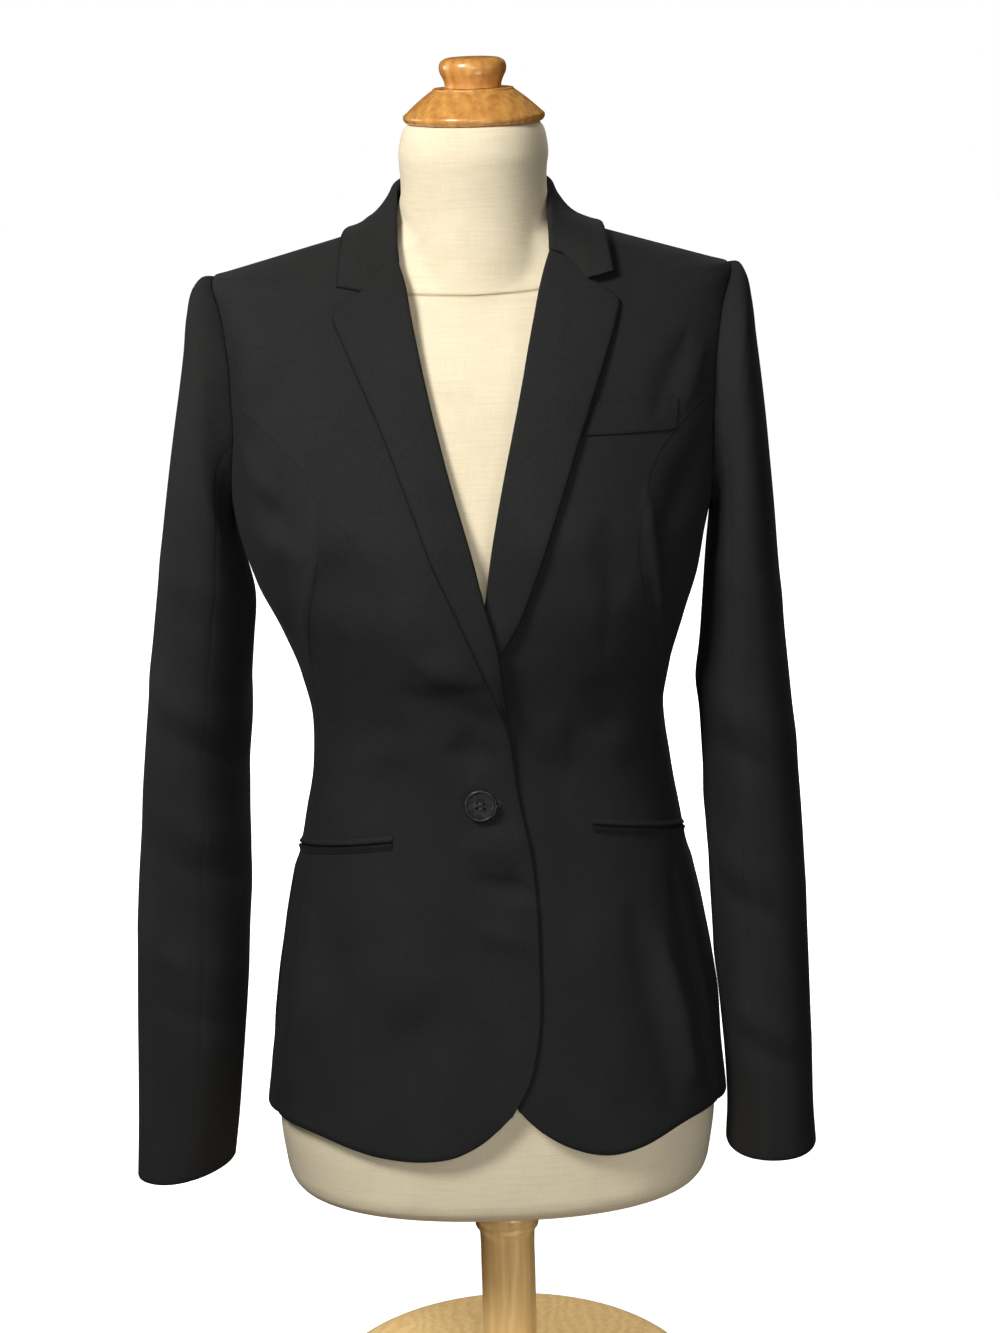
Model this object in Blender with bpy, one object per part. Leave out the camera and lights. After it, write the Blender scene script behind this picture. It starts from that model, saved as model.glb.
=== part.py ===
"""Single breasted blazer buttoned on a limbless dress form with a turned wooden stand.

Metres, +Z up.  The front of the garment faces -Y, and the wearer's left is at +X.
Every panel of cloth is a patch on one smooth girth surface, which is described by
its section at each height.  A place on that surface is a girth angle (0 at the
centre front, 90 at the wearer's left side, 180 at the centre back, -90 at the
wearer's right side) and a height.
"""
import math

import bpy
import numpy as np

# ---------------------------------------------------------------- driving sizes
WALL = 0.0018              # thickness of one layer of cloth
SEAM_GAP = 0.0003          # each piece keeps this far back from a seam line
GIRTH_PER_DEGREE = 0.0024  # mean length of one degree of girth, used by folds only
NORMAL_STEP = 0.0004       # step used to find the surface's own direction

SIDE_ROWS = 15             # rows of cloth between hem and armhole
ARM_ROWS = 8               # rows of cloth between armhole corner and shoulder
FRONT_COLUMNS = 11
SIDE_COLUMNS = 6
BACK_COLUMNS = 7

SHOULDER_TIP_HEIGHT = 0.9135
NECK_POINT_HEIGHT = 0.9515
ARMHOLE_CORNER_HEIGHT = 0.832
ARMHOLE_BACK_CORNER_HEIGHT = 0.790


def table(names, *rows):
    """Named columns of a short table of numbers."""
    values = np.array(rows, dtype=float)
    return {name: values[:, index] for index, name in enumerate(names.split())}


# The jacket's outer section at each height: half width, middle, depth in front of
# and behind the middle, and the exponent of the superellipse.
BODY = table(
    "height half_width mid_x mid_y front back square",
    (0.205, 0.1680, -0.0052, 0.000, 0.108, 0.110, 2.30),
    (0.230, 0.1735, -0.0050, 0.000, 0.111, 0.114, 2.30),
    (0.270, 0.1778, -0.0045, 0.000, 0.112, 0.118, 2.30),
    (0.310, 0.1738, -0.0036, 0.000, 0.111, 0.121, 2.30),
    (0.360, 0.1670, -0.0022, 0.000, 0.108, 0.120, 2.30),
    (0.410, 0.1592, -0.0020, 0.000, 0.105, 0.115, 2.30),
    (0.460, 0.1512, -0.0023, 0.000, 0.103, 0.107, 2.30),
    (0.510, 0.1402, -0.0016, 0.000, 0.102, 0.099, 2.30),
    (0.550, 0.1333, -0.0010, 0.000, 0.102, 0.094, 2.28),
    (0.590, 0.1302, -0.0025, 0.000, 0.105, 0.092, 2.26),
    (0.625, 0.1362, -0.0042, 0.000, 0.113, 0.095, 2.26),
    (0.660, 0.1473, -0.0060, 0.000, 0.122, 0.101, 2.28),
    (0.695, 0.1605, -0.0088, 0.000, 0.127, 0.107, 2.30),
    (0.730, 0.1693, -0.0100, 0.000, 0.127, 0.112, 2.30),
    (0.770, 0.1770, -0.0088, 0.001, 0.120, 0.116, 2.30),
    (0.810, 0.1802, -0.0070, 0.002, 0.109, 0.117, 2.30),
    (0.850, 0.1838, -0.0060, 0.003, 0.095, 0.110, 2.30),
    (0.880, 0.1860, -0.0057, 0.004, 0.081, 0.098, 2.28),
    (0.900, 0.1855, -0.0057, 0.005, 0.067, 0.085, 2.25),
    (0.9135, 0.1825, -0.0055, 0.005, 0.056, 0.074, 2.20),
    (0.921, 0.1570, -0.0048, 0.005, 0.051, 0.067, 2.15),
    (0.929, 0.1285, -0.0040, 0.005, 0.048, 0.061, 2.10),
    (0.937, 0.1000, -0.0030, 0.004, 0.047, 0.056, 2.05),
    (0.9425, 0.0815, -0.0025, 0.003, 0.047, 0.054, 2.02),
    (0.948, 0.0690, -0.0020, 0.002, 0.048, 0.053, 2.00),
    (0.955, 0.0600, -0.0018, 0.000, 0.050, 0.053, 2.00),
    (0.970, 0.0546, -0.0016, -0.001, 0.0515, 0.0525, 2.00),
    (0.985, 0.0540, -0.0016, -0.001, 0.0530, 0.0530, 2.00),
)

# Space between the cloth's inner face and the form under it.
EASE = table(
    "height space",
    (0.205, 0.0085),
    (0.300, 0.0080),
    (0.420, 0.0060),
    (0.580, 0.0045),
    (0.700, 0.0050),
    (0.850, 0.0045),
    (0.895, 0.0028),
    (0.9135, 0.0016),
    (0.930, 0.0012),
    (0.955, 0.0016),
    (0.970, 0.0023),
    (0.985, 0.0006),
)

SHOULDER_SPACE = 0.0050    # more space in front of the shoulder seams
BLADE_SPACE = 0.0102       # more space behind them

# Neck of the form above the collar: radius at each height.
NECK = table(
    "height radius mid_x",
    (0.985, 0.0518, -0.0016),
    (0.995, 0.0527, -0.0012),
    (1.006, 0.0513, -0.0009),
    (1.0125, 0.0492, -0.0006),
    (1.0160, 0.0465, -0.0004),
)

# Soft folds and hollows of the body: both ends in girth degrees and height, the
# half width of the fold across its line and how far it stands proud.
BODY_FOLDS = table(
    "girth_a height_a girth_b height_b spread rise",
    (-27.0, 0.628, -8.0, 0.650, 0.014, 0.0022),
    (-30.0, 0.600, -6.0, 0.598, 0.012, -0.0016),
    (-10.0, 0.520, 4.0, 0.440, 0.024, 0.0024),
    (-52.0, 0.735, -44.0, 0.690, 0.014, -0.0020),
    (52.0, 0.735, 44.0, 0.690, 0.014, -0.0016),
    (30.0, 0.610, 14.0, 0.640, 0.014, 0.0016),
    (-120.0, 0.300, -128.0, 0.420, 0.030, 0.0030),
    (122.0, 0.300, 130.0, 0.420, 0.030, 0.0030),
    (-160.0, 0.585, -118.0, 0.600, 0.016, 0.0022),
    (160.0, 0.592, 120.0, 0.612, 0.016, 0.0020),
    (-112.0, 0.740, -135.0, 0.650, 0.018, 0.0018),
    (112.0, 0.740, 136.0, 0.655, 0.018, 0.0018),
)

# Seams and edges as places on the surface.
SIDE_FRONT_SEAM = table(
    "height right_girth left_girth",
    (0.2865, 70.0, 70.0),
    (0.400, 69.5, 69.5),
    (0.500, 70.5, 70.5),
    (0.585, 70.0, 70.0),
    (0.616, 66.0, 66.0),
    (0.650, 56.5, 56.5),
    (0.683, 46.5, 47.5),
    (0.715, 38.5, 42.0),
    (0.743, 34.5, 40.0),
    (0.768, 34.2, 40.2),
    (0.790, 38.5, 43.0),
    (0.808, 47.0, 49.5),
    (0.822, 58.0, 59.0),
    (ARMHOLE_CORNER_HEIGHT, 67.7, 67.7),
)
SIDE_BACK_SEAM = table(
    "girth height",
    (127.0, 0.2790),
    (123.0, 0.400),
    (120.0, 0.500),
    (118.0, 0.585),
    (121.0, 0.655),
    (125.0, 0.715),
    (122.0, 0.755),
    (108.5, ARMHOLE_BACK_CORNER_HEIGHT),
)
CENTRE_BACK_SEAM = table(
    "girth height",
    (180.0, 0.2720),
    (180.0, 0.600),
    (180.0, 0.9460),
)
SIDE_HEM = table(
    "girth height",
    (70.0, 0.2865),
    (90.0, 0.2800),
    (108.0, 0.2780),
    (127.0, 0.2790),
)
BACK_HEM = table(
    "girth height",
    (127.0, 0.2790),
    (150.0, 0.2750),
    (180.0, 0.2720),
)
BACK_NECK = table(
    "girth height",
    (90.0, NECK_POINT_HEIGHT),
    (130.0, 0.9480),
    (180.0, 0.9460),
)
ARMHOLE_FRONT = table(
    "girth height",
    (67.7, ARMHOLE_CORNER_HEIGHT),
    (67.2, 0.856),
    (69.6, 0.882),
    (77.0, 0.903),
    (90.0, SHOULDER_TIP_HEIGHT),
)
ARMHOLE_UNDER = table(
    "girth height",
    (67.7, ARMHOLE_CORNER_HEIGHT),
    (69.0, 0.808),
    (72.0, 0.785),
    (76.5, 0.763),
    (84.0, 0.747),
    (91.0, 0.742),
    (98.0, 0.747),
    (105.0, 0.765),
    (108.5, ARMHOLE_BACK_CORNER_HEIGHT),
)
ARMHOLE_BACK = table(
    "girth height",
    (108.5, ARMHOLE_BACK_CORNER_HEIGHT),
    (111.5, 0.815),
    (112.5, 0.850),
    (109.0, 0.885),
    (102.0, 0.904),
    (90.0, SHOULDER_TIP_HEIGHT),
)

# Right front, which laps over: edge from the rounded hem corner up to the break,
# roll line to the gorge, then the neckline to the shoulder.  x and height.
OVER_EDGE = table(
    "x height",
    (0.0086, 0.3094),
    (0.0202, 0.3323),
    (0.0267, 0.3589),
    (0.0301, 0.4350),
    (0.0267, 0.5035),
    (0.0186, 0.5493),
    (0.0116, 0.6113),
    (0.0088, 0.6352),
    (0.0055, 0.6700),
    (-0.0020, 0.6997),
    (-0.0092, 0.7317),
    (-0.0203, 0.7721),
    (-0.0361, 0.8376),
    (-0.0465, 0.8888),
    (-0.0509, 0.9120),
    (-0.0550, 0.9251),
    (-0.0588, 0.9400),
)
OVER_HEM = table(
    "x height",
    (0.0086, 0.3094),
    (-0.0178, 0.2866),
    (-0.0364, 0.2772),
    (-0.0535, 0.2737),
    (-0.0921, 0.2736),
    (-0.1296, 0.2818),
)
UNDER_EDGE = table(
    "x height",
    (0.0101, 0.3117),
    (0.0022, 0.3290),
    (-0.0015, 0.3589),
    (-0.0100, 0.4400),
    (-0.0225, 0.5035),
    (-0.0345, 0.5493),
    (-0.0320, 0.5780),
    (-0.0220, 0.6113),
    (-0.0110, 0.6500),
    (-0.0020, 0.6997),
    (0.0026, 0.7317),
    (0.0104, 0.7712),
    (0.0253, 0.8359),
    (0.0367, 0.8866),
    (0.0432, 0.9113),
    (0.0495, 0.9300),
    (0.0548, 0.9420),
)
UNDER_HEM = table(
    "x height",
    (0.0101, 0.3117),
    (0.0302, 0.2925),
    (0.0483, 0.2807),
    (0.0794, 0.2711),
    (0.1005, 0.2727),
    (0.1315, 0.2826),
)

# Gorge seam from the roll line to the notch, then the collar's and the lapel's own
# free edge: distance out from the collar's middle, and height.
COLLAR_MIDDLE = -0.0025
LEFT_RISE = 0.0055         # the wearer's left side sits this much higher at the gorge
GORGE = table(
    "out height",
    (0.0522, 0.9251),
    (0.0609, 0.9220),
    (0.0692, 0.9153),
    (0.0780, 0.9055),
)
COLLAR_TIP = (0.0968, 0.9096)
LAPEL_TIP = (0.1003, 0.8906)

# Outer edges of the lapels from the break to the tip.
OVER_LAPEL_EDGE = table(
    "x height",
    (0.0080, 0.6160),
    (0.0036, 0.6290),
    (-0.0163, 0.6806),
    (-0.0386, 0.7324),
    (-0.0544, 0.7759),
    (-0.0703, 0.8184),
    (-0.0932, 0.8703),
)
UNDER_LAPEL_EDGE = table(
    "x height",
    (-0.0170, 0.6160),
    (-0.0080, 0.6370),
    (0.0095, 0.6662),
    (0.0218, 0.6880),
    (0.0328, 0.7158),
    (0.0476, 0.7561),
    (0.0664, 0.8098),
    (0.0908, 0.8747),
)
LAPEL_FOOT_HEIGHT = 0.6150
LAPEL_ROWS = 15
LAPEL_COLUMNS = 4

# How far the right front stands off where it laps over the left one.
LAP_CLEAR = table(
    "height lift",
    (0.260, 0.0028),
    (0.450, 0.0030),
    (0.550, 0.0034),
    (0.600, 0.0056),
    (0.660, 0.0070),
    (0.700, 0.0063),
    (0.740, 0.0030),
    (0.790, 0.0008),
    (0.830, 0.0000),
)
LAP_START_X = -0.090
LAP_FULL_X = -0.038
LAPEL_CLEAR_EDGE = 0.0012  # space under a lapel along its roll line and its edge
LAPEL_CLEAR_MID = 0.0022   # space under the middle of a lapel

# Collar: fold line and leaf edge of one half, from the front end to the centre back.
COLLAR_FOLD = table(
    "out y height",
    (0.0522, -0.0442, 0.9256),
    (0.0540, -0.0345, 0.9430),
    (0.0560, -0.0160, 0.9640),
    (0.0574, 0.0060, 0.9765),
    (0.0480, 0.0340, 0.9835),
    (0.0270, 0.0530, 0.9875),
    (0.0000, 0.0590, 0.9890),
)
COLLAR_LEAF = table(
    "out y height",
    (0.0968, -0.0525, 0.9096),
    (0.0950, -0.0350, 0.9290),
    (0.0930, -0.0130, 0.9420),
    (0.0905, 0.0080, 0.9450),
    (0.0820, 0.0340, 0.9430),
    (0.0600, 0.0560, 0.9395),
    (0.0300, 0.0655, 0.9400),
    (0.0000, 0.0680, 0.9405),
)
COLLAR_STATIONS = 24
COLLAR_ROWS = 4            # the gorge seam's three steps and the free edge
COLLAR_SAG = 0.0045        # how far the leaf dips between its fold and its edge
COLLAR_CLEAR = 0.0034      # least distance of the leaf's outer face from the body
COLLAR_SPARE = 0.0016      # more of it behind the chest, where the shoulders turn
STAND_STATIONS = 18
STAND_ROWS = 2
STAND_FRONT_GIRTH = 48.0
STAND_INSET = 0.0032       # the stand's top lies this far inside the fold
NECK_SEAM = table(
    "girth height",
    (40.0, 0.9405),
    (60.0, 0.9468),
    (90.0, NECK_POINT_HEIGHT),
    (130.0, 0.9480),
    (180.0, 0.9460),
)

# Sleeve rings from the armhole to the cuff.  Each ring hangs between an outer and
# an inner point; half_depth is half its front-to-back size, turn twists it.
RIGHT_SLEEVE = table(
    "outer_x outer_height inner_x inner_height half_depth mid_y turn keep",
    (-0.1885, 0.9135, -0.1813, 0.7420, 0.0440, 0.0050, 0, 1.00),
    (-0.1968, 0.9160, -0.1838, 0.7345, 0.0490, 0.0045, 0, 0.62),
    (-0.2040, 0.9080, -0.1838, 0.7270, 0.0530, 0.0040, 0, 0.30),
    (-0.2085, 0.8890, -0.1828, 0.7190, 0.0555, 0.0035, 0, 0.12),
    (-0.2120, 0.8640, -0.1810, 0.7100, 0.0575, 0.0030, 0, 0.03),
    (-0.2165, 0.8380, -0.1785, 0.7005, 0.0590, 0.0020, 0, 0.00),
    (-0.2218, 0.8080, -0.1765, 0.6900, 0.0600, 0.0010, 2, 0.00),
    (-0.2272, 0.7760, -0.1752, 0.6790, 0.0605, 0.0000, 4, 0.00),
    (-0.2325, 0.7420, -0.1745, 0.6670, 0.0605, -0.0010, 6, 0.00),
    (-0.2380, 0.7040, -0.1745, 0.6520, 0.0600, -0.0020, 8, 0.00),
    (-0.2440, 0.6620, -0.1765, 0.6300, 0.0590, -0.0035, 10, 0.00),
    (-0.2500, 0.6150, -0.1797, 0.6030, 0.0570, -0.0055, 13, 0.00),
    (-0.2565, 0.5620, -0.1820, 0.5620, 0.0545, -0.0080, 16, 0.00),
    (-0.2615, 0.5120, -0.1845, 0.5120, 0.0515, -0.0110, 20, 0.00),
    (-0.2670, 0.4620, -0.1862, 0.4620, 0.0490, -0.0140, 24, 0.00),
    (-0.2705, 0.4120, -0.1895, 0.4120, 0.0470, -0.0175, 28, 0.00),
    (-0.2732, 0.3620, -0.1938, 0.3620, 0.0455, -0.0210, 31, 0.00),
    (-0.2755, 0.3120, -0.1995, 0.3120, 0.0440, -0.0240, 34, 0.00),
    (-0.2778, 0.2700, -0.2045, 0.2700, 0.0430, -0.0262, 36, 0.00),
    (-0.2800, 0.2370, -0.2090, 0.2400, 0.0425, -0.0280, 37, 0.00),
)
LEFT_SLEEVE = table(
    "outer_x outer_height inner_x inner_height half_depth mid_y turn keep",
    (0.1770, 0.9135, 0.1617, 0.7420, 0.0440, 0.0050, 0, 1.00),
    (0.1850, 0.9160, 0.1645, 0.7345, 0.0490, 0.0045, 0, 0.62),
    (0.1900, 0.9080, 0.1650, 0.7270, 0.0530, 0.0040, 0, 0.30),
    (0.1938, 0.8890, 0.1648, 0.7190, 0.0555, 0.0035, 0, 0.12),
    (0.1968, 0.8640, 0.1640, 0.7100, 0.0575, 0.0030, 0, 0.03),
    (0.2000, 0.8380, 0.1630, 0.7005, 0.0590, 0.0020, 0, 0.00),
    (0.2033, 0.8080, 0.1620, 0.6900, 0.0600, 0.0010, 0, 0.00),
    (0.2062, 0.7760, 0.1610, 0.6790, 0.0605, 0.0000, 0, 0.00),
    (0.2092, 0.7420, 0.1600, 0.6670, 0.0605, -0.0010, 0, 0.00),
    (0.2120, 0.7040, 0.1585, 0.6520, 0.0600, -0.0020, 0, 0.00),
    (0.2155, 0.6620, 0.1560, 0.6300, 0.0590, -0.0035, 0, 0.00),
    (0.2200, 0.6150, 0.1532, 0.6030, 0.0570, -0.0055, 0, 0.00),
    (0.2250, 0.5620, 0.1552, 0.5620, 0.0545, -0.0080, 0, 0.00),
    (0.2288, 0.5120, 0.1588, 0.5120, 0.0515, -0.0110, 0, 0.00),
    (0.2315, 0.4620, 0.1618, 0.4620, 0.0490, -0.0135, 0, 0.00),
    (0.2335, 0.4120, 0.1648, 0.4120, 0.0470, -0.0160, 0, 0.00),
    (0.2352, 0.3620, 0.1692, 0.3620, 0.0455, -0.0182, 0, 0.00),
    (0.2368, 0.3120, 0.1732, 0.3120, 0.0440, -0.0200, 0, 0.00),
    (0.2380, 0.2700, 0.1740, 0.2700, 0.0430, -0.0210, 0, 0.00),
    (0.2400, 0.2430, 0.1710, 0.2430, 0.0420, -0.0215, 0, 0.00),
)
SLEEVE_SQUARE = 2.15       # exponent of a sleeve's ring
SLEEVE_FRONT_SEAM = 9      # armhole point of the front seam, counted from the tip
SLEEVE_BACK_SEAM = 15      # armhole point of the back seam
# Soft diagonal folds across a sleeve: height at its front, fall per degree round it,
# half width, and rise.
SLEEVE_FOLDS = table(
    "height slope spread rise",
    (0.700, 0.00022, 0.014, 0.0014),
    (0.610, 0.00030, 0.016, 0.0024),
    (0.545, -0.00020, 0.015, 0.0020),
    (0.440, 0.00026, 0.018, 0.0016),
    (0.345, -0.00016, 0.016, 0.0016),
)

# Pockets.  A jet runs from its inner to its outer end along a falling line.
POCKET_INNER_GIRTH = 28.0
POCKET_OUTER_GIRTH = 83.0
RIGHT_POCKET = (0.5172, 0.4925)   # slit height at the inner and the outer end
LEFT_POCKET = (0.5262, 0.4985)
JET_WIDTH = 0.0055
JET_RISE = 0.0009                 # space between a jet and the panel under it
JET_WALL = 0.0012
SLIT = 0.0010
JET_COLUMNS = 9
WELT_CORNERS = table(
    "x height",
    (0.0680, 0.8100),
    (0.1345, 0.8078),
    (0.1368, 0.8302),
    (0.0765, 0.8330),
)
WELT_RISE = 0.0008
WELT_WALL = 0.0014

BUTTON_PLACE = (-0.0092, 0.5488)
BUTTON_RADIUS = 0.0118
BUTTON_THICK = 0.0036
BUTTON_RIM = 0.0022
BUTTON_DISH = 0.0009
BUTTON_HOLE_RADIUS = 0.0010
BUTTON_HOLE_SPREAD = 0.0020
BUTTON_CLEAR = 0.0015
BUTTON_SIDES = 32

# Form and stand.
FORM_POINTS = 32
FORM_FLOOR_HEIGHT = 0.2100
FORM_ROUND = table(
    "height inset",
    (0.2100, 0.0220),
    (0.2130, 0.0105),
    (0.2190, 0.0035),
    (0.2280, 0.0000),
)
TURNED_SIDES = 28
CAP_PROFILE = table(
    "radius height",
    (0.0440, 1.0163),
    (0.0484, 1.0178),
    (0.0498, 1.0205),
    (0.0478, 1.0232),
    (0.0275, 1.0395),
    (0.0240, 1.0402),
)
KNOB_PROFILE = table(
    "radius height",
    (0.0200, 1.0405),
    (0.0203, 1.0425),
    (0.0234, 1.0520),
    (0.0232, 1.0560),
    (0.0205, 1.0590),
    (0.0130, 1.0612),
)
POLE_PROFILE = table(
    "radius height",
    (0.0260, 0.0288),
    (0.0268, 0.0340),
    (0.0246, 0.0400),
    (0.0218, 0.0480),
    (0.0213, 0.0900),
    (0.0214, 0.1560),
    (0.0222, 0.1620),
    (0.0250, 0.1655),
    (0.0236, 0.1685),
    (0.0262, 0.1725),
    (0.0268, 0.1770),
    (0.0258, 0.1815),
    (0.0226, 0.1860),
    (0.0222, 0.2097),
)
BASE_PROFILE = table(
    "radius height",
    (0.1500, 0.0000),
    (0.1550, 0.0040),
    (0.1560, 0.0120),
    (0.1520, 0.0185),
    (0.1420, 0.0220),
    (0.0500, 0.0260),
    (0.0300, 0.0285),
)


# ---------------------------------------------------------------- number helpers
def smooth(xs, ys, x):
    """Monotone cubic through the rows of a table."""
    xs = np.asarray(xs, dtype=float)
    ys = np.asarray(ys, dtype=float)
    step = np.diff(xs)
    slope = np.diff(ys) / step
    tangent = np.zeros(len(xs))
    tangent[0] = slope[0]
    tangent[-1] = slope[-1]
    for i in range(1, len(xs) - 1):
        if slope[i - 1] * slope[i] > 0.0:
            before = 2 * step[i] + step[i - 1]
            after = step[i] + 2 * step[i - 1]
            tangent[i] = (before + after) / (before / slope[i - 1] + after / slope[i])
    x = np.clip(x, xs[0], xs[-1])
    k = np.clip(np.searchsorted(xs, x, side="right") - 1, 0, len(xs) - 2)
    t = (x - xs[k]) / step[k]
    return (
        (2 * t**3 - 3 * t**2 + 1) * ys[k]
        + (t**3 - 2 * t**2 + t) * step[k] * tangent[k]
        + (3 * t**2 - 2 * t**3) * ys[k + 1]
        + (t**3 - t**2) * step[k] * tangent[k + 1]
    )


def ramp(value, low, high):
    """Smooth step from 0 at low to 1 at high."""
    t = np.clip((value - low) / (high - low), 0.0, 1.0)
    return t * t * (3.0 - 2.0 * t)


def unit(vectors):
    """Vectors scaled to length one."""
    return vectors / np.linalg.norm(vectors, axis=-1, keepdims=True)


def run_through(points, samples, scale=None):
    """Curve through points, read at fractions of its length (Catmull-Rom)."""
    points = np.asarray(points, dtype=float)
    scale = np.ones(points.shape[1]) if scale is None else np.asarray(scale, dtype=float)
    dense = []
    padded = np.vstack([2 * points[0] - points[1], points, 2 * points[-1] - points[-2]])
    t = np.linspace(0.0, 1.0, 25)[:-1, None]
    for a, b, c, d in zip(padded[:-3], padded[1:-2], padded[2:-1], padded[3:]):
        dense.append(
            0.5 * (2 * b + (c - a) * t + (2 * a - 5 * b + 4 * c - d) * t**2
                   + (3 * b - a - 3 * c + d) * t**3)
        )
    dense = np.vstack(dense + [points[-1:]])
    length = np.concatenate([[0.0], np.cumsum(np.linalg.norm(np.diff(dense * scale, axis=0), axis=1))])
    samples = np.asarray(samples, dtype=float) * length[-1]
    return np.stack([np.interp(samples, length, dense[:, i]) for i in range(dense.shape[1])], axis=1)


# ---------------------------------------------------------------- girth surface
PLACE_SCALE = (GIRTH_PER_DEGREE, 1.0)   # metres per unit of (girth, height)


def section(height):
    """Half width, middle and depths of the jacket at a height."""
    return [smooth(BODY["height"], BODY[name], height)
            for name in ("half_width", "mid_x", "mid_y", "front", "back", "square")]


def bare_point(girth, height):
    """Point of the smooth girth surface, with no folds."""
    half_width, mid_x, mid_y, front, back, square = section(height)
    angle = np.radians(girth)
    across = np.sin(angle)
    along = np.cos(angle)
    depth = np.where(along > 0.0, front, back)
    x = mid_x + half_width * np.sign(across) * np.abs(across) ** (2.0 / square)
    y = mid_y - depth * np.sign(along) * np.abs(along) ** (2.0 / square)
    return np.stack([x, y, height + 0.0 * x], axis=-1)


def bare_direction(girth, height):
    """Outward direction of the girth surface."""
    turn = np.degrees(NORMAL_STEP / 0.12)
    round_it = bare_point(girth + turn, height) - bare_point(girth - turn, height)
    up = bare_point(girth, height + NORMAL_STEP) - bare_point(girth, height - NORMAL_STEP)
    return unit(np.cross(round_it, up))


def fold_rise(girth, height):
    """Sum of the soft folds of the body at a place."""
    place = np.stack([girth * GIRTH_PER_DEGREE, height + 0.0 * girth], axis=-1)
    total = np.zeros(np.shape(girth))
    for i in range(len(BODY_FOLDS["rise"])):
        a = np.array([BODY_FOLDS["girth_a"][i] * GIRTH_PER_DEGREE, BODY_FOLDS["height_a"][i]])
        b = np.array([BODY_FOLDS["girth_b"][i] * GIRTH_PER_DEGREE, BODY_FOLDS["height_b"][i]])
        along = np.clip(((place - a) @ (b - a)) / np.dot(b - a, b - a), 0.0, 1.0)
        distance = np.linalg.norm(place - a - along[..., None] * (b - a), axis=-1)
        total += BODY_FOLDS["rise"][i] * np.exp(-(distance / BODY_FOLDS["spread"][i]) ** 2)
    return total


def cloth_point(girth, height, lift=0.0):
    """Point of the cloth's outer face, moved out by lift."""
    girth = np.asarray(girth, dtype=float)
    height = np.asarray(height, dtype=float)
    rise = fold_rise(girth, height) + lift
    return bare_point(girth, height) + bare_direction(girth, height) * rise[..., None]


def girth_at(x, height):
    """Girth angle of the front point that has this x."""
    half_width, mid_x, _, _, _, square = section(height)
    share = np.clip(np.abs(x - mid_x) / half_width, 0.0, 1.0)
    return np.sign(x - mid_x) * np.degrees(np.arcsin(share ** (square / 2.0)))


def side_front_seam(side):
    """Front seam of the side panel as a table in the wearer's left half."""
    girth = SIDE_FRONT_SEAM["right_girth" if side < 0 else "left_girth"]
    return {"girth": girth, "height": SIDE_FRONT_SEAM["height"]}


def places(columns):
    """Rows of a table as (girth, height), from girth or from x on the front."""
    if "girth" in columns:
        return np.stack([columns["girth"], columns["height"]], axis=1)
    return np.stack([girth_at(columns["x"], columns["height"]), columns["height"]], axis=1)


def mirrored(rows, side):
    """Places of the same curve on side +1, the wearer's left, or side -1."""
    return rows * np.array([side, 1.0])


def lap_lift(girth, height):
    """How far the right front stands off over the left one."""
    x = bare_point(girth, height)[..., 0]
    return smooth(LAP_CLEAR["height"], LAP_CLEAR["lift"], height) * ramp(x, LAP_START_X, LAP_FULL_X)


def front_lift(side, girth, height):
    """Lift of the front panel on one side."""
    if side < 0:
        return lap_lift(girth, height)
    return 0.0 * np.asarray(girth, dtype=float)


# ---------------------------------------------------------------- grids and walls
def coons(left, right, bottom, top):
    """Patch between four curves that meet at their ends; rows run left to right."""
    rows = len(left)
    columns = len(bottom)
    v = np.linspace(0.0, 1.0, rows)[:, None, None]
    u = np.linspace(0.0, 1.0, columns)[None, :, None]
    ruled_sides = (1 - u) * left[:, None] + u * right[:, None]
    ruled_ends = (1 - v) * bottom[None, :] + v * top[None, :]
    corners = ((1 - u) * (1 - v) * left[0] + u * (1 - v) * right[0]
               + (1 - u) * v * left[-1] + u * v * right[-1])
    return ruled_sides + ruled_ends - corners


def square_off(edge, inside):
    """Directions from an edge towards its neighbours, square to the edge itself."""
    run = unit(np.gradient(edge, axis=0))
    toward = inside - edge
    return unit(toward - run * np.sum(toward * run, axis=1, keepdims=True))


def pull_in(grid, amounts):
    """Move the edge points of a grid inwards: amounts for left, right, bottom, top."""
    moved = grid.copy()
    left, right, bottom, top = amounts
    moved[:, 0] += left * square_off(grid[:, 0], grid[:, 1])
    moved[:, -1] += right * square_off(grid[:, -1], grid[:, -2])
    moved[0] += bottom * square_off(grid[0], grid[1])
    moved[-1] += top * square_off(grid[-1], grid[-2])
    return moved


def material(name, colour, roughness, metallic=0.0):
    """Principled material of one piece."""
    made = bpy.data.materials.new(name)
    made.use_nodes = True
    shader = made.node_tree.nodes["Principled BSDF"]
    shader.inputs["Base Color"].default_value = (*colour, 1.0)
    shader.inputs["Roughness"].default_value = roughness
    shader.inputs["Metallic"].default_value = metallic
    return made


CLOTH_COLOUR = (0.022, 0.022, 0.023)
LINEN_COLOUR = (0.86, 0.80, 0.64)
WOOD_COLOUR = (0.55, 0.27, 0.075)
PALE_WOOD_COLOUR = (0.66, 0.44, 0.20)
BUTTON_COLOUR = (0.016, 0.016, 0.017)


def signed_volume(vertices, faces):
    """Volume enclosed by faces; negative when they point inwards."""
    total = 0.0
    for face in faces:
        first = vertices[face[0]]
        for b, c in zip(face[1:-1], face[2:]):
            total += np.dot(first, np.cross(vertices[b], vertices[c]))
    return total / 6.0


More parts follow.
